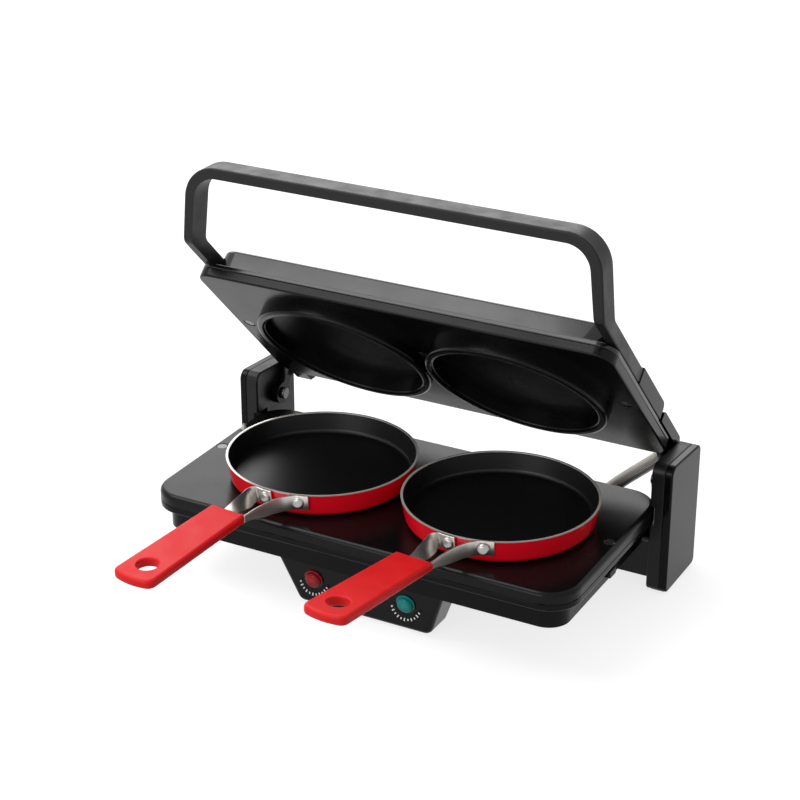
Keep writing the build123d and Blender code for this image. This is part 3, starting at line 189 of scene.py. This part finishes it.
def satin_abs(name="etched satin black ABS", dark="#09090A", pale="#0E0E10"):
    """Injection-moulded ABS from a fine-etched tool: black with a soft, broken shine."""
    material, tree, shader = new_finish(name, IOR=1.5, Specular_IOR_Level=0.22)
    pits = grain(tree, 0.7, 2)
    tree.links.new(blend_colours(tree, grain(tree, 25, 3), dark, pale), shader.inputs["Base Color"])
    tree.links.new(spread(tree, grain(tree, 12, 2), 0.34, 0.46), shader.inputs["Roughness"])
    raise_bumps(tree, shader, pits, 0.03)
    return material


def coated_casting():
    """Cast aluminium with sprayed non-stick coating: charcoal, a satin shine with fine orange peel."""
    material, tree, shader = new_finish("non-stick coated cast aluminium", IOR=1.5, Specular_IOR_Level=0.14)
    peel = grain(tree, 1.4, 2)
    flecks = grain(tree, 0.9, 1)
    colour = blend_colours(tree, spread(tree, flecks, 0, 1, 0.66, 0.74), "#0A0A0B", "#1C1C1E")
    tree.links.new(colour, shader.inputs["Base Color"])
    tree.links.new(spread(tree, grain(tree, 30, 3), 0.2, 0.28), shader.inputs["Roughness"])
    raise_bumps(tree, shader, peel, 0.018)
    return material


def enamelled_pan(centre, name):
    """Pressed steel pan: glossy red enamel outside, charcoal non-stick inside, and a bare turned rim."""
    colours = bpy.context.scene.grill_colours
    material, tree, shader = new_finish(name, IOR=1.5, Specular_IOR_Level=0.3)
    place = add_node(
        tree,
        "ShaderNodeMapping",
        inputs={"Location": (-centre[0], -centre[1], 0)},
        links={"Vector": object_position(tree)},
    )
    axes = add_node(tree, "ShaderNodeSeparateXYZ", links={"Vector": place.outputs["Vector"]})
    flat = add_node(
        tree, "ShaderNodeCombineXYZ", links={"X": axes.outputs["X"], "Y": axes.outputs["Y"]}
    )
    reach = add_node(
        tree, "ShaderNodeVectorMath", settings={"operation": "LENGTH"}, links={0: flat.outputs["Vector"]}
    ).outputs["Value"]
    # the wall leans out, so the middle of its thickness is followed up with the height
    middle = add_node(
        tree,
        "ShaderNodeMapRange",
        inputs={
            "From Min": PAN_BASE,
            "From Max": PAN_TOP,
            "To Min": PAN_WALL_AT_BASE,
            "To Max": PAN_WALL_AT_TOP,
        },
        links={"Value": axes.outputs["Z"]},
    ).outputs["Result"]
    within = add_node(
        tree, "ShaderNodeMath", settings={"operation": "LESS_THAN"}, links={0: reach, 1: middle}
    ).outputs["Value"]
    above = add_node(
        tree,
        "ShaderNodeMath",
        settings={"operation": "GREATER_THAN"},
        inputs={1: PAN_FLOOR},
        links={0: axes.outputs["Z"]},
    ).outputs["Value"]
    inside = add_node(
        tree, "ShaderNodeMath", settings={"operation": "MULTIPLY"}, links={0: within, 1: above}
    ).outputs["Value"]
    rim = add_node(
        tree,
        "ShaderNodeMath",
        settings={"operation": "GREATER_THAN"},
        inputs={1: PAN_RIM},
        links={0: axes.outputs["Z"]},
    ).outputs["Value"]
    flecks = spread(tree, grain(tree, 0.9, 1), 0, 1, 0.66, 0.74)
    coating = blend_colours(tree, flecks, "#0C0C0D", "#1E1E20")
    shell = add_node(tree, "ShaderNodeMix", settings={"data_type": "RGBA"}, links={"Factor": inside})
    shell.inputs[6].default_value = linear_colour(colours.enamel)
    tree.links.new(coating, shell.inputs[7])
    whole = add_node(tree, "ShaderNodeMix", settings={"data_type": "RGBA"}, links={"Factor": rim})
    tree.links.new(shell.outputs[2], whole.inputs[6])
    whole.inputs[7].default_value = linear_colour("#C9C4BF")
    tree.links.new(whole.outputs[2], shader.inputs["Base Color"])
    tree.links.new(spread(tree, rim, 0, 0.45, 0, 1), shader.inputs["Metallic"])
    tree.links.new(spread(tree, inside, 0.14, 0.36, 0, 1), shader.inputs["Roughness"])
    raise_bumps(tree, shader, grain(tree, 2.5, 1), 0.01)
    return material


def rolled_steel_strip():
    """Rolled stainless strip: bright, with faint drawn lines along its length."""
    material, tree, shader = new_finish("rolled stainless steel strip", Metallic=1.0)
    lines = grain(tree, 0.6, 2, (1, 1, 14))
    tree.links.new(blend_colours(tree, lines, "#C2BCB6", "#D2CEC9"), shader.inputs["Base Color"])
    tree.links.new(spread(tree, lines, 0.3, 0.4), shader.inputs["Roughness"])
    raise_bumps(tree, shader, lines, 0.006)
    return material


def zinc_plated_steel():
    """Cold-headed steel with zinc plate: bright grey with a cloudy sheen."""
    material, tree, shader = new_finish("zinc-plated steel", Metallic=1.0)
    clouds = grain(tree, 2.2, 3)
    tree.links.new(blend_colours(tree, clouds, "#8E8D8C", "#B6B5B3"), shader.inputs["Base Color"])
    tree.links.new(spread(tree, clouds, 0.25, 0.4), shader.inputs["Roughness"])
    return material


def black_oxide_steel():
    """Screws with black oxide: dark grey, slightly oily."""
    material, tree, shader = new_finish("black-oxide steel", Metallic=0.8)
    clouds = grain(tree, 1.5, 3)
    tree.links.new(blend_colours(tree, clouds, "#4A4A4C", "#6B6A68"), shader.inputs["Base Color"])
    tree.links.new(spread(tree, clouds, 0.2, 0.32), shader.inputs["Roughness"])
    return material


def pressed_sheet_steel():
    """Aluminised sheet steel, pressed: dull silver with large faint spangle."""
    material, tree, shader = new_finish("aluminised sheet steel", Metallic=1.0)
    spangle = add_node(
        tree,
        "ShaderNodeTexVoronoi",
        inputs={"Scale": 1 / (7 * MM)},
        links={"Vector": object_position(tree)},
    ).outputs["Color"]
    shade = add_node(tree, "ShaderNodeSeparateXYZ", links={"Vector": spangle}).outputs["X"]
    tree.links.new(blend_colours(tree, shade, "#9A9B9C", "#B9BABB"), shader.inputs["Base Color"])
    tree.links.new(spread(tree, shade, 0.3, 0.45, 0, 1), shader.inputs["Roughness"])
    return material


def fired_element_tube():
    """Element tube in heat-tinted steel: dark grey-green, matt."""
    material, tree, shader = new_finish("heat-tinted element tube", Metallic=0.7)
    tint = grain(tree, 11, 3)
    tree.links.new(blend_colours(tree, tint, "#34362F", "#4D4842"), shader.inputs["Base Color"])
    tree.links.new(spread(tree, tint, 0.45, 0.62), shader.inputs["Roughness"])
    return material


def moulded_silicone():
    """Compression-moulded silicone: strong red, soft and matt with a faint worn bloom."""
    colours = bpy.context.scene.grill_colours
    material, tree, shader = new_finish("moulded red silicone", IOR=1.41, Specular_IOR_Level=0.3)
    bloom = grain(tree, 14, 3)
    reds = blend_colours(tree, bloom, colours.silicone, colours.silicone_worn)
    tree.links.new(reds, shader.inputs["Base Color"])
    tree.links.new(spread(tree, bloom, 0.42, 0.56), shader.inputs["Roughness"])
    raise_bumps(tree, shader, grain(tree, 0.9, 2), 0.02)
    return material


def lamp_lens(name, centre, deep, bright):
    """Tinted polycarbonate dome in a dark ring: a deep even colour, a painted glow that lightens its middle,
    and one clear shine.
    """
    material, tree, shader = new_finish(name, IOR=1.5, Specular_IOR_Level=0.15, Roughness=0.1)
    place = add_node(
        tree,
        "ShaderNodeMapping",
        inputs={"Location": (-centre[0], 0, -centre[2]), "Scale": (1, 0, 1)},
        links={"Vector": object_position(tree)},
    )
    reach = add_node(
        tree, "ShaderNodeVectorMath", settings={"operation": "LENGTH"}, links={0: place.outputs["Vector"]}
    ).outputs["Value"]
    # painted glow: the lens colour is painted lighter towards its middle, from the bright colour out to the
    # deep one
    dome = blend_colours(tree, spread(tree, reach, 0, 1, 0.5 * MM, 4.5 * MM), bright, deep)
    ring = add_node(
        tree,
        "ShaderNodeMath",
        settings={"operation": "GREATER_THAN"},
        inputs={1: 6.6 * MM},
        links={0: reach},
    ).outputs["Value"]
    whole = add_node(
        tree, "ShaderNodeMix", settings={"data_type": "RGBA"}, links={"Factor": ring, 6: dome}
    )
    whole.inputs[7].default_value = linear_colour("#121214")
    tree.links.new(whole.outputs[2], shader.inputs["Base Color"])
    raise_bumps(tree, shader, grain(tree, 3, 1), 0.01)
    return material


def moulded_rubber():
    """Moulded black rubber: matt, slightly dusty."""
    material, tree, shader = new_finish("moulded black rubber", IOR=1.52)
    dust = grain(tree, 6, 3)
    tree.links.new(blend_colours(tree, dust, "#151515", "#232322"), shader.inputs["Base Color"])
    tree.links.new(spread(tree, dust, 0.6, 0.78), shader.inputs["Roughness"])
    return material


def pale_thermoset():
    """Moulded ceramic-filled thermoset, used near heat: off-white and dry."""
    material, tree, shader = new_finish("pale moulded thermoset", IOR=1.5)
    specks = grain(tree, 1.2, 2)
    tree.links.new(blend_colours(tree, specks, "#B9B4A8", "#D0CBBE"), shader.inputs["Base Color"])
    tree.links.new(spread(tree, specks, 0.55, 0.7), shader.inputs["Roughness"])
    return material


def white_print():
    """Pad-printed white ink: flat and slightly uneven."""
    material, tree, shader = new_finish("pad-printed white ink", IOR=1.5)
    ink = grain(tree, 0.8, 2)
    tree.links.new(blend_colours(tree, ink, "#D6D6D4", "#EFEFEC"), shader.inputs["Base Color"])
    tree.links.new(spread(tree, ink, 0.45, 0.6), shader.inputs["Roughness"])
    return material


def braided_sleeve():
    """Braided bright steel wire: pale diamonds that follow the tube, with painted shade darkening the gaps
    between the strands.
    """
    material, tree, shader = new_finish("braided steel sleeve", Metallic=1.0)
    along = add_node(tree, "ShaderNodeUVMap").outputs["UV"]
    axes = add_node(tree, "ShaderNodeSeparateXYZ", links={"Vector": along})
    heights = []
    for sign in (1, -1):
        turn = add_node(
            tree,
            "ShaderNodeMath",
            settings={"operation": "MULTIPLY_ADD"},
            inputs={1: sign * 1.0},
            links={0: axes.outputs["X"], 2: axes.outputs["Y"]},
        ).outputs["Value"]
        wave = add_node(
            tree,
            "ShaderNodeMath",
            settings={"operation": "MULTIPLY"},
            inputs={1: 2 * math.pi * 12},
            links={0: turn},
        ).outputs["Value"]
        heights.append(
            add_node(tree, "ShaderNodeMath", settings={"operation": "SINE"}, links={0: wave}).outputs["Value"]
        )
    strand = add_node(
        tree, "ShaderNodeMath", settings={"operation": "MULTIPLY"}, links={0: heights[0], 1: heights[1]}
    ).outputs["Value"]
    # the weave pattern is real; the darker colour in the gaps between the strands is painted shade
    colour = blend_colours(tree, spread(tree, strand, 0, 1, -0.6, 0.6), "#85827D", "#CFCCC7")
    tree.links.new(colour, shader.inputs["Base Color"])
    tree.links.new(spread(tree, strand, 0.42, 0.28, -0.6, 0.6), shader.inputs["Roughness"])
    raise_bumps(tree, shader, strand, 0.2)
    return material


def looked_at(tree):
    """Is 1 for rays that show the background: the camera's, mirrored and passed ones. An output socket."""
    path = add_node(tree, "ShaderNodeLightPath")
    both = add_node(
        tree,
        "ShaderNodeMath",
        settings={"operation": "MAXIMUM"},
        links={0: path.outputs["Is Camera Ray"], 1: path.outputs["Is Glossy Ray"]},
    ).outputs["Value"]
    return add_node(
        tree,
        "ShaderNodeMath",
        settings={"operation": "MAXIMUM"},
        links={0: both, 1: path.outputs["Is Transmission Ray"]},
    ).outputs["Value"]


def studio_floor(glow):
    """Seamless white paper: a glow for looking rays makes it white, and the shadow stays on it."""
    material, tree, shader = new_finish("white studio paper", Roughness=0.9)
    paper = blend_colours(tree, grain(tree, 60, 3), "#9A9A9A", "#9E9E9E")
    tree.links.new(paper, shader.inputs["Base Color"])
    shader.inputs["Emission Color"].default_value = (1, 1, 1, 1)
    tree.links.new(spread(tree, looked_at(tree), 0, glow, 0, 1), shader.inputs["Emission Strength"])
    return material


def put_on(material, *names):
    """Gives CAD nodes or new pieces one material."""
    for name in names:
        piece = bpy.data.objects[name]
        piece.data.materials.clear()
        piece.data.materials.append(material)


def make_piece(name, shape, material, body):
    """Turns a bmesh into a piece of the scene that rides on a body."""
    mesh = bpy.data.meshes.new(name)
    shape.to_mesh(mesh)
    shape.free()
    piece = bpy.data.objects.new(name, mesh)
    bpy.context.scene.collection.objects.link(piece)
    piece.data.materials.append(material)
    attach(piece, body)
    return piece


def on_pan_wall(angle):
    """A station of the strip where it lies along the pan's leaning wall."""
    out = Vector((math.sin(math.radians(angle)), math.cos(math.radians(angle)), 0))
    middle = STRAP_WALL_RADIUS * out + Vector((0, 0, STRAP_WALL_HEIGHT))
    return middle, -1.0 * out + Vector((0, 0, -5.4))


def smooth_path(points, steps):
    """A curve through the points, with steps pieces between each two."""
    path = []
    for i in range(len(points) - 1):
        before, here = points[max(i - 1, 0)], points[i]
        ahead, after = points[i + 1], points[min(i + 2, len(points) - 1)]
        leaving, arriving = here + (ahead - before) / 6, ahead - (after - here) / 6
        path += interpolate_bezier(here, leaving, arriving, ahead, steps + 1)[:-1]
    return path + [points[-1]]


def draw_strip(shape, place, stations, thickness, steps):
    """Adds a bent strip of sheet to a bmesh: its two long edges pass through the stations' ends."""
    stations = [(Vector(middle), Vector(half)) for middle, half in stations]
    edges = [
        smooth_path([place @ ((middle + side * half) * MM) for middle, half in stations], steps)
        for side in (-1, 1)
    ]
    columns = len(edges[0]) - 1
    strip = bmesh.new()
    bmesh.ops.create_grid(strip, x_segments=columns, y_segments=1, size=1)
    for vertex in strip.verts:
        column = round((vertex.co.x + 1) / 2 * columns)
        vertex.co = edges[int(vertex.co.y > 0)][column]
    bmesh.ops.recalc_face_normals(strip, faces=strip.faces)
    bmesh.ops.solidify(strip, geom=list(strip.faces), thickness=thickness)
    bmesh.ops.recalc_face_normals(strip, faces=strip.faces)
    corners = [edge for edge in strip.edges if edge.calc_face_angle(0) > math.radians(60)]
    bmesh.ops.bevel(
        strip, geom=corners, offset=0.2 * thickness, segments=2, profile=0.5, affect="EDGES", material=-1
    )
    part = bpy.data.meshes.new("strip")
    strip.to_mesh(part)
    strip.free()
    shape.from_mesh(part)
    bpy.data.meshes.remove(part)


# Properties
class GrillColours(bpy.types.PropertyGroup):
    """Colours that a user would change, as sRGB hex codes."""

    enamel: StringProperty(name="Enamel", description="Outside of the pans", default="#E60E22")
    silicone: StringProperty(name="Silicone", description="Pan grips", default="#D20F13")
    silicone_worn: StringProperty(
        name="Worn silicone", description="Bloom on the pan grips", default="#DA1D21"
    )
    lamp_red: StringProperty(name="Red lamp", description="Lens of the left lamp", default="#86101C")
    # painted glow: the lighter colour painted into the middle of the red lens
    lamp_red_painted_glow: StringProperty(
        name="Red heart", description="Middle of the left lens", default="#B81E2A"
    )
    lamp_green: StringProperty(name="Green lamp", description="Lens of the right lamp", default="#0A7572")
    # painted glow: the lighter colour painted into the middle of the green lens
    lamp_green_painted_glow: StringProperty(
        name="Green heart", description="Middle of the right lens", default="#119690"
    )


class GrillSizes(bpy.types.PropertyGroup):
    """Sizes of the pieces made here."""

    tick_count: IntProperty(name="Ticks", description="Printed ticks under each lamp", default=11, min=2)
    tick_radius: FloatProperty(
        name="Tick radius",
        description="From the lamp's middle to the ticks",
        default=10.6 * MM,
        unit="LENGTH",
    )
    tick_length: FloatProperty(
        name="Tick length", description="Length of one tick", default=2.0 * MM, unit="LENGTH"
    )
    grip_turn: FloatProperty(
        name="Grip turn",
        description="Turn of the pans' grips to the left",
        default=math.radians(-5.6),
        subtype="ANGLE",
    )
    strip_thickness: FloatProperty(
        name="Strip thickness", description="Thickness of the pans' straps", default=1.2 * MM, unit="LENGTH"
    )
    strip_steps: IntProperty(
        name="Strip steps", description="Pieces of the straps between two stations", default=6, min=1
    )
    sleeve_radius: FloatProperty(
        name="Sleeve radius", description="Outside of the braided sleeve", default=4.8 * MM, unit="LENGTH"
    )
    sleeve_steps: IntProperty(
        name="Sleeve steps", description="Rings along the braided sleeve", default=48, min=8
    )


class GrillStage(bpy.types.PropertyGroup):
    """Camera and lamps."""

    lens: FloatProperty(name="Lens", description="Focal length in millimetres", default=92.754)
    distance: FloatProperty(
        name="Distance", description="From the camera to its target", default=1.34502, unit="LENGTH"
    )
    azimuth: FloatProperty(
        name="Azimuth",
        description="Camera's turn to the right",
        default=math.radians(28.404),
        subtype="ANGLE",
    )
    elevation: FloatProperty(
        name="Elevation", description="Camera's height angle", default=math.radians(24.574), subtype="ANGLE"
    )
    roll: FloatProperty(
        name="Roll",
        description="Turn round the line of sight",
        default=math.radians(0.042),
        subtype="ANGLE",
    )
    target: FloatVectorProperty(
        name="Target",
        description="The point looked at",
        default=(-0.004047, 0.042455, 0.128998),
        unit="LENGTH",
    )
    key_power: FloatProperty(
        name="Key power", description="Softbox high at the left front", default=14.0, unit="POWER"
    )
    rim_power: FloatProperty(
        name="Rim power", description="Softbox behind at the left", default=11.0, unit="POWER"
    )
    fill_power: FloatProperty(
        name="Fill power", description="Softbox low at the front", default=7.0, unit="POWER"
    )
    world_strength: FloatProperty(name="World", description="Even light from all round", default=0.5)
    paper_glow: FloatProperty(
        name="Paper glow", description="Glow of the paper when looked at", default=0.78
    )


# Operators
class DressPlates(bpy.types.Operator):
    """Coats both cooking plates"""

    bl_idname = "grill.dress_plates"
    bl_label = "Dress Plates"

    def execute(self, context):
        put_on(coated_casting(), "lower_plate", "lid_plate")
        return {"FINISHED"}


class DressShells(bpy.types.Operator):
    """Gives the housings, posts, lid cover and handle their plastics"""

    bl_idname = "grill.dress_shells"
    bl_label = "Dress Shells"

    def execute(self, context):
        put_on(
            glossy_abs(),
            "base_housing",
            "control_foot",
            "post_left_outer",
            "post_right_outer",
            "ear_left",
            "ear_right",
            "bracket_left",
            "bracket_right",
        )
        put_on(glossy_abs("polished black ABS", 0.42), "lid_cover")
        put_on(satin_abs("etched charcoal ABS", "#161617", "#1E1E20"), "handle")
        put_on(
            satin_abs(),
            "bottom_cover",
            "post_left_inner",
            "post_right_inner",
            "rear_housing",
            "rear_cover",
            "side_clips",
            "gland_lower",
            "gland_upper",
        )
        put_on(moulded_rubber(), "foot_pads", "post_pads", "cord_inlet")
        return {"FINISHED"}


class DressPans(bpy.types.Operator):
    """Enamels the pans and gives them their straps, rivets and grips"""

    bl_idname = "grill.dress_pans"
    bl_label = "Dress Pans"

    def execute(self, context):
        sizes = context.scene.grill_sizes
        strip = rolled_steel_strip()
        zinc = zinc_plated_steel()
        silicone = moulded_silicone()
        for side in ("left", "right"):
            low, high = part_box(f"pan_{side}")
            centre = (low + high) / 2
            put_on(enamelled_pan(centre, f"enamelled pressed steel, {side} pan"), f"pan_{side}")
            turn = Matrix.Rotation(sizes.grip_turn, 4, "Z")
            # the strap's frame has its second axis outwards from the pan, towards the grip
            place = Matrix.Translation((centre.x, centre.y, low.z)) @ turn @ Matrix.Diagonal((1, -1, 1, 1))
            strap = bmesh.new()
            for stations in (
                (*STRAP_LEFT_LEG, *(on_pan_wall(angle) for angle in STRAP_LEFT_ANGLES)),
                (*STRAP_RIGHT_LEG, *(on_pan_wall(angle) for angle in STRAP_RIGHT_ANGLES)),
            ):
                draw_strip(strap, place, stations, sizes.strip_thickness, sizes.strip_steps)
            for face in strap.faces:
                face.smooth = True
            piece = make_piece(f"pan_strap_{side}", strap, strip, f"{side}_pan")
            piece.data.set_sharp_from_angle(angle=math.radians(35))
            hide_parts(f"strap_{side}")
            put_on(zinc, f"rivets_{side}")
            put_on(silicone, f"grip_{side}")
        return {"FINISHED"}


class DressFittings(bpy.types.Operator):
    """Finishes screws, pins, lugs and the parts inside"""

    bl_idname = "grill.dress_fittings"
    bl_label = "Dress Fittings"

    def execute(self, context):
        put_on(
            black_oxide_steel(), "lower_plate_screws", "upper_plate_screws", "bottom_screws", "hinge_pins"
        )
        put_on(zinc_plated_steel(), "plate_lug")
        put_on(pressed_sheet_steel(), "lower_shield", "upper_shield", "thermostat")
        put_on(fired_element_tube(), "lower_element", "upper_element")
        put_on(pale_thermoset(), "lamp_sockets", "terminal_block")
        return {"FINISHED"}


class DressLamps(bpy.types.Operator):
    """Tints the two lamps and prints an arc of ticks under each"""

    bl_idname = "grill.dress_lamps"
    bl_label = "Dress Lamps"

    def execute(self, context):
        colours = context.scene.grill_colours
        sizes = context.scene.grill_sizes
        # each lens gets its deep tint and a painted glow for its middle
        for name, deep, bright in (
            ("lamp_red", colours.lamp_red, colours.lamp_red_painted_glow),
            ("lamp_green", colours.lamp_green, colours.lamp_green_painted_glow),
        ):
            low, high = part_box(name)
            colour = name.split("_")[1]
            put_on(lamp_lens(f"tinted {colour} polycarbonate", (low + high) / 2, deep, bright), name)
        print_ticks = bmesh.new()
        lean = math.atan2(FOOT_LEAN, FOOT_HEIGHT)
        for name in ("lamp_red", "lamp_green"):
            low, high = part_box(name)
            # the lamp's flange stands on the foot's leaning face, so its front gives the face's place
            middle = Vector(((low.x + high.x) / 2, 0, LAMP_HEIGHT))
            middle.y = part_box("control_foot")[0].y + (FOOT_TOP - middle.z) * FOOT_LEAN / FOOT_HEIGHT
            face = Matrix.Translation(middle) @ Matrix.Rotation(-lean, 4, "X")
            for i in range(sizes.tick_count):
                angle = math.radians(-68 + 136 * i / (sizes.tick_count - 1))
                place = (
                    face
                    @ Matrix.Rotation(-angle, 4, "Y")
                    @ Matrix.Translation((0, 0, -sizes.tick_radius))
                    @ Matrix.Diagonal((0.8 * MM, 0.12 * MM, sizes.tick_length * (1.0 if i % 2 else 0.7), 1))
                )
                bmesh.ops.create_cube(print_ticks, size=1, matrix=place)
        bmesh.ops.recalc_face_normals(print_ticks, faces=print_ticks.faces)
        make_piece("lamp_ticks", print_ticks, white_print(), "base")
        return {"FINISHED"}


class DressConduit(bpy.types.Operator):
    """Covers the conduit with a braided sleeve that follows it"""

    bl_idname = "grill.dress_conduit"
    bl_label = "Dress Conduit"

    def execute(self, context):
        sizes = context.scene.grill_sizes
        low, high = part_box("conduit")
        radius = sizes.sleeve_radius
        start = Vector((low.x + radius, low.y + radius, low.z))
        end = Vector((high.x, high.y - radius, high.z - radius))
        # it runs nearly straight between the two glands
        path = interpolate_bezier(
            start,
            start + Vector(SLEEVE_START_HANDLE),
            end + Vector(SLEEVE_END_HANDLE),
            end,
            sizes.sleeve_steps,
        )
        sleeve = bmesh.new()
        around = 24
        threads = sleeve.loops.layers.uv.new("UVMap")
        ring = bmesh.ops.create_circle(
            sleeve, segments=around, radius=radius, matrix=Matrix.Translation(start)
        )["verts"]
        edges = list(sleeve.edges)
        angle_of = {vertex: i / around for i, vertex in enumerate(ring)}
        reach_of = dict.fromkeys(ring, 0.0)
        heading, reach = Vector((0, 0, 1)), 0.0
        for i in range(1, len(path)):
            before, here = path[i - 1], path[i]
            ahead = path[min(i + 1, len(path) - 1)] - before
            turn = heading.rotation_difference(ahead)
            reach += (here - before).length
            made = bmesh.ops.extrude_edge_only(sleeve, edges=edges)["geom"]
            edges = [piece for piece in made if isinstance(piece, bmesh.types.BMEdge)]
            ends = [piece for piece in made if isinstance(piece, bmesh.types.BMVert)]
            edges = [edge for edge in edges if all(vertex in ends for vertex in edge.verts)]
            for vertex in ends:
                neighbours = (edge.other_vert(vertex) for edge in vertex.link_edges)
                below = next(other for other in neighbours if other not in ends)
                angle_of[vertex], reach_of[vertex] = angle_of[below], reach
            bmesh.ops.translate(sleeve, verts=ends, vec=here - before)
            bmesh.ops.rotate(sleeve, verts=ends, cent=here, matrix=turn.to_matrix())
            heading = ahead
        for face in sleeve.faces:
            face.smooth = True
            turns = [angle_of[loop.vert] for loop in face.loops]
            for loop, part in zip(face.loops, turns):
                round_trip = 1.0 if part == 0 and max(turns) > 0.5 else part
                loop[threads].uv = (round_trip, reach_of[loop.vert] / (2 * math.pi * radius))
        bmesh.ops.recalc_face_normals(sleeve, faces=sleeve.faces)
        piece = make_piece("braided_sleeve", sleeve, braided_sleeve(), "base")
        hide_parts("conduit")
        return {"FINISHED"}


class BuildStage(bpy.types.Operator):
    """Sets up the floor, the lamps, the world and the camera"""

    bl_idname = "grill.build_stage"
    bl_label = "Build Stage"

    def execute(self, context):
        scene = context.scene
        stage = scene.grill_stage
        sheet = bmesh.new()
        bmesh.ops.create_grid(sheet, x_segments=1, y_segments=1, size=3.0)
        mesh = bpy.data.meshes.new("studio_floor")
        sheet.to_mesh(mesh)
        sheet.free()
        floor = bpy.data.objects.new("studio_floor", mesh)
        floor.location = (0, 0, -0.0002)
        scene.collection.objects.link(floor)
        floor.data.materials.append(studio_floor(stage.paper_glow))

        world = bpy.data.worlds.new("studio")
        scene.world = world
        world.use_nodes = True
        tree = world.node_tree
        tree.nodes.clear()
        even = add_node(
            tree, "ShaderNodeBackground", inputs={"Color": (1, 1, 1, 1), "Strength": stage.world_strength}
        )
        white = add_node(tree, "ShaderNodeBackground", inputs={"Color": (1, 1, 1, 1), "Strength": 1.0})
        mix = add_node(
            tree,
            "ShaderNodeMixShader",
            links={0: looked_at(tree), 1: even.outputs["Background"], 2: white.outputs["Background"]},
        )
        add_node(tree, "ShaderNodeOutputWorld", links={"Surface": mix.outputs["Shader"]})

        target = Vector(stage.target)
        for name, power, size, place in (
            ("key softbox", stage.key_power, (1.0, 1.0), (-0.72, -0.22, 1.36)),
            ("rim softbox", stage.rim_power, (1.6, 0.9), (-0.8, 1.3, 0.95)),
            ("fill softbox", stage.fill_power, (1.0, 0.6), (-0.3, -1.45, 0.55)),
        ):
            lamp = bpy.data.lights.new(name, "AREA")
            lamp.shape = "RECTANGLE"
            lamp.size, lamp.size_y = size
            lamp.energy = power
            holder = bpy.data.objects.new(name, lamp)
            holder.location = place
            holder.rotation_euler = (target - Vector(place)).to_track_quat("-Z", "Y").to_euler()
            holder.visible_camera = False
            scene.collection.objects.link(holder)

        back = Vector(
            (
                math.sin(stage.azimuth) * math.cos(stage.elevation),
                -math.cos(stage.azimuth) * math.cos(stage.elevation),
                math.sin(stage.elevation),
            )
        )
        camera_data = bpy.data.cameras.new("camera")
        camera_data.lens = stage.lens
        camera_data.sensor_width = 36
        camera_data.sensor_fit = "HORIZONTAL"
        camera_data.clip_end = 20
        camera = bpy.data.objects.new("camera", camera_data)
        turn = (-back).to_track_quat("-Z", "Y").to_matrix().to_4x4()
        camera.matrix_world = (
            Matrix.Translation(target + back * stage.distance) @ turn @ Matrix.Rotation(stage.roll, 4, "Z")
        )
        scene.collection.objects.link(camera)
        scene.camera = camera
        scene.view_settings.view_transform = "Standard"
        return {"FINISHED"}


class GrillPanel(bpy.types.Panel):
    """Lists the steps and the values that a user would change"""

    bl_idname = "VIEW3D_PT_grill"
    bl_label = "Contact Grill"
    bl_space_type = "VIEW_3D"
    bl_region_type = "UI"
    bl_category = "Grill"

    def draw(self, context):
        for operator in STEPS:
            self.layout.operator(operator.bl_idname)
        for group in (context.scene.grill_colours, context.scene.grill_sizes, context.scene.grill_stage):
            for name in group.__annotations__:
                self.layout.prop(group, name)


STEPS = (DressPlates, DressShells, DressPans, DressFittings, DressLamps, DressConduit, BuildStage)
GROUPS = {"grill_colours": GrillColours, "grill_sizes": GrillSizes, "grill_stage": GrillStage}


def register():
    for group in GROUPS.values():
        bpy.utils.register_class(group)
    for name, group in GROUPS.items():
        setattr(bpy.types.Scene, name, PointerProperty(type=group))
    for operator in STEPS:
        bpy.utils.register_class(operator)
    bpy.utils.register_class(GrillPanel)


def unregister():
    bpy.utils.unregister_class(GrillPanel)
    for operator in reversed(STEPS):
        bpy.utils.unregister_class(operator)
    for name, group in reversed(GROUPS.items()):
        delattr(bpy.types.Scene, name)
        bpy.utils.unregister_class(group)


def main():
    register()
    for operator in STEPS:
        category, name = operator.bl_idname.split(".")
        getattr(getattr(bpy.ops, category), name)()


if __name__ == "__main__":
    main()
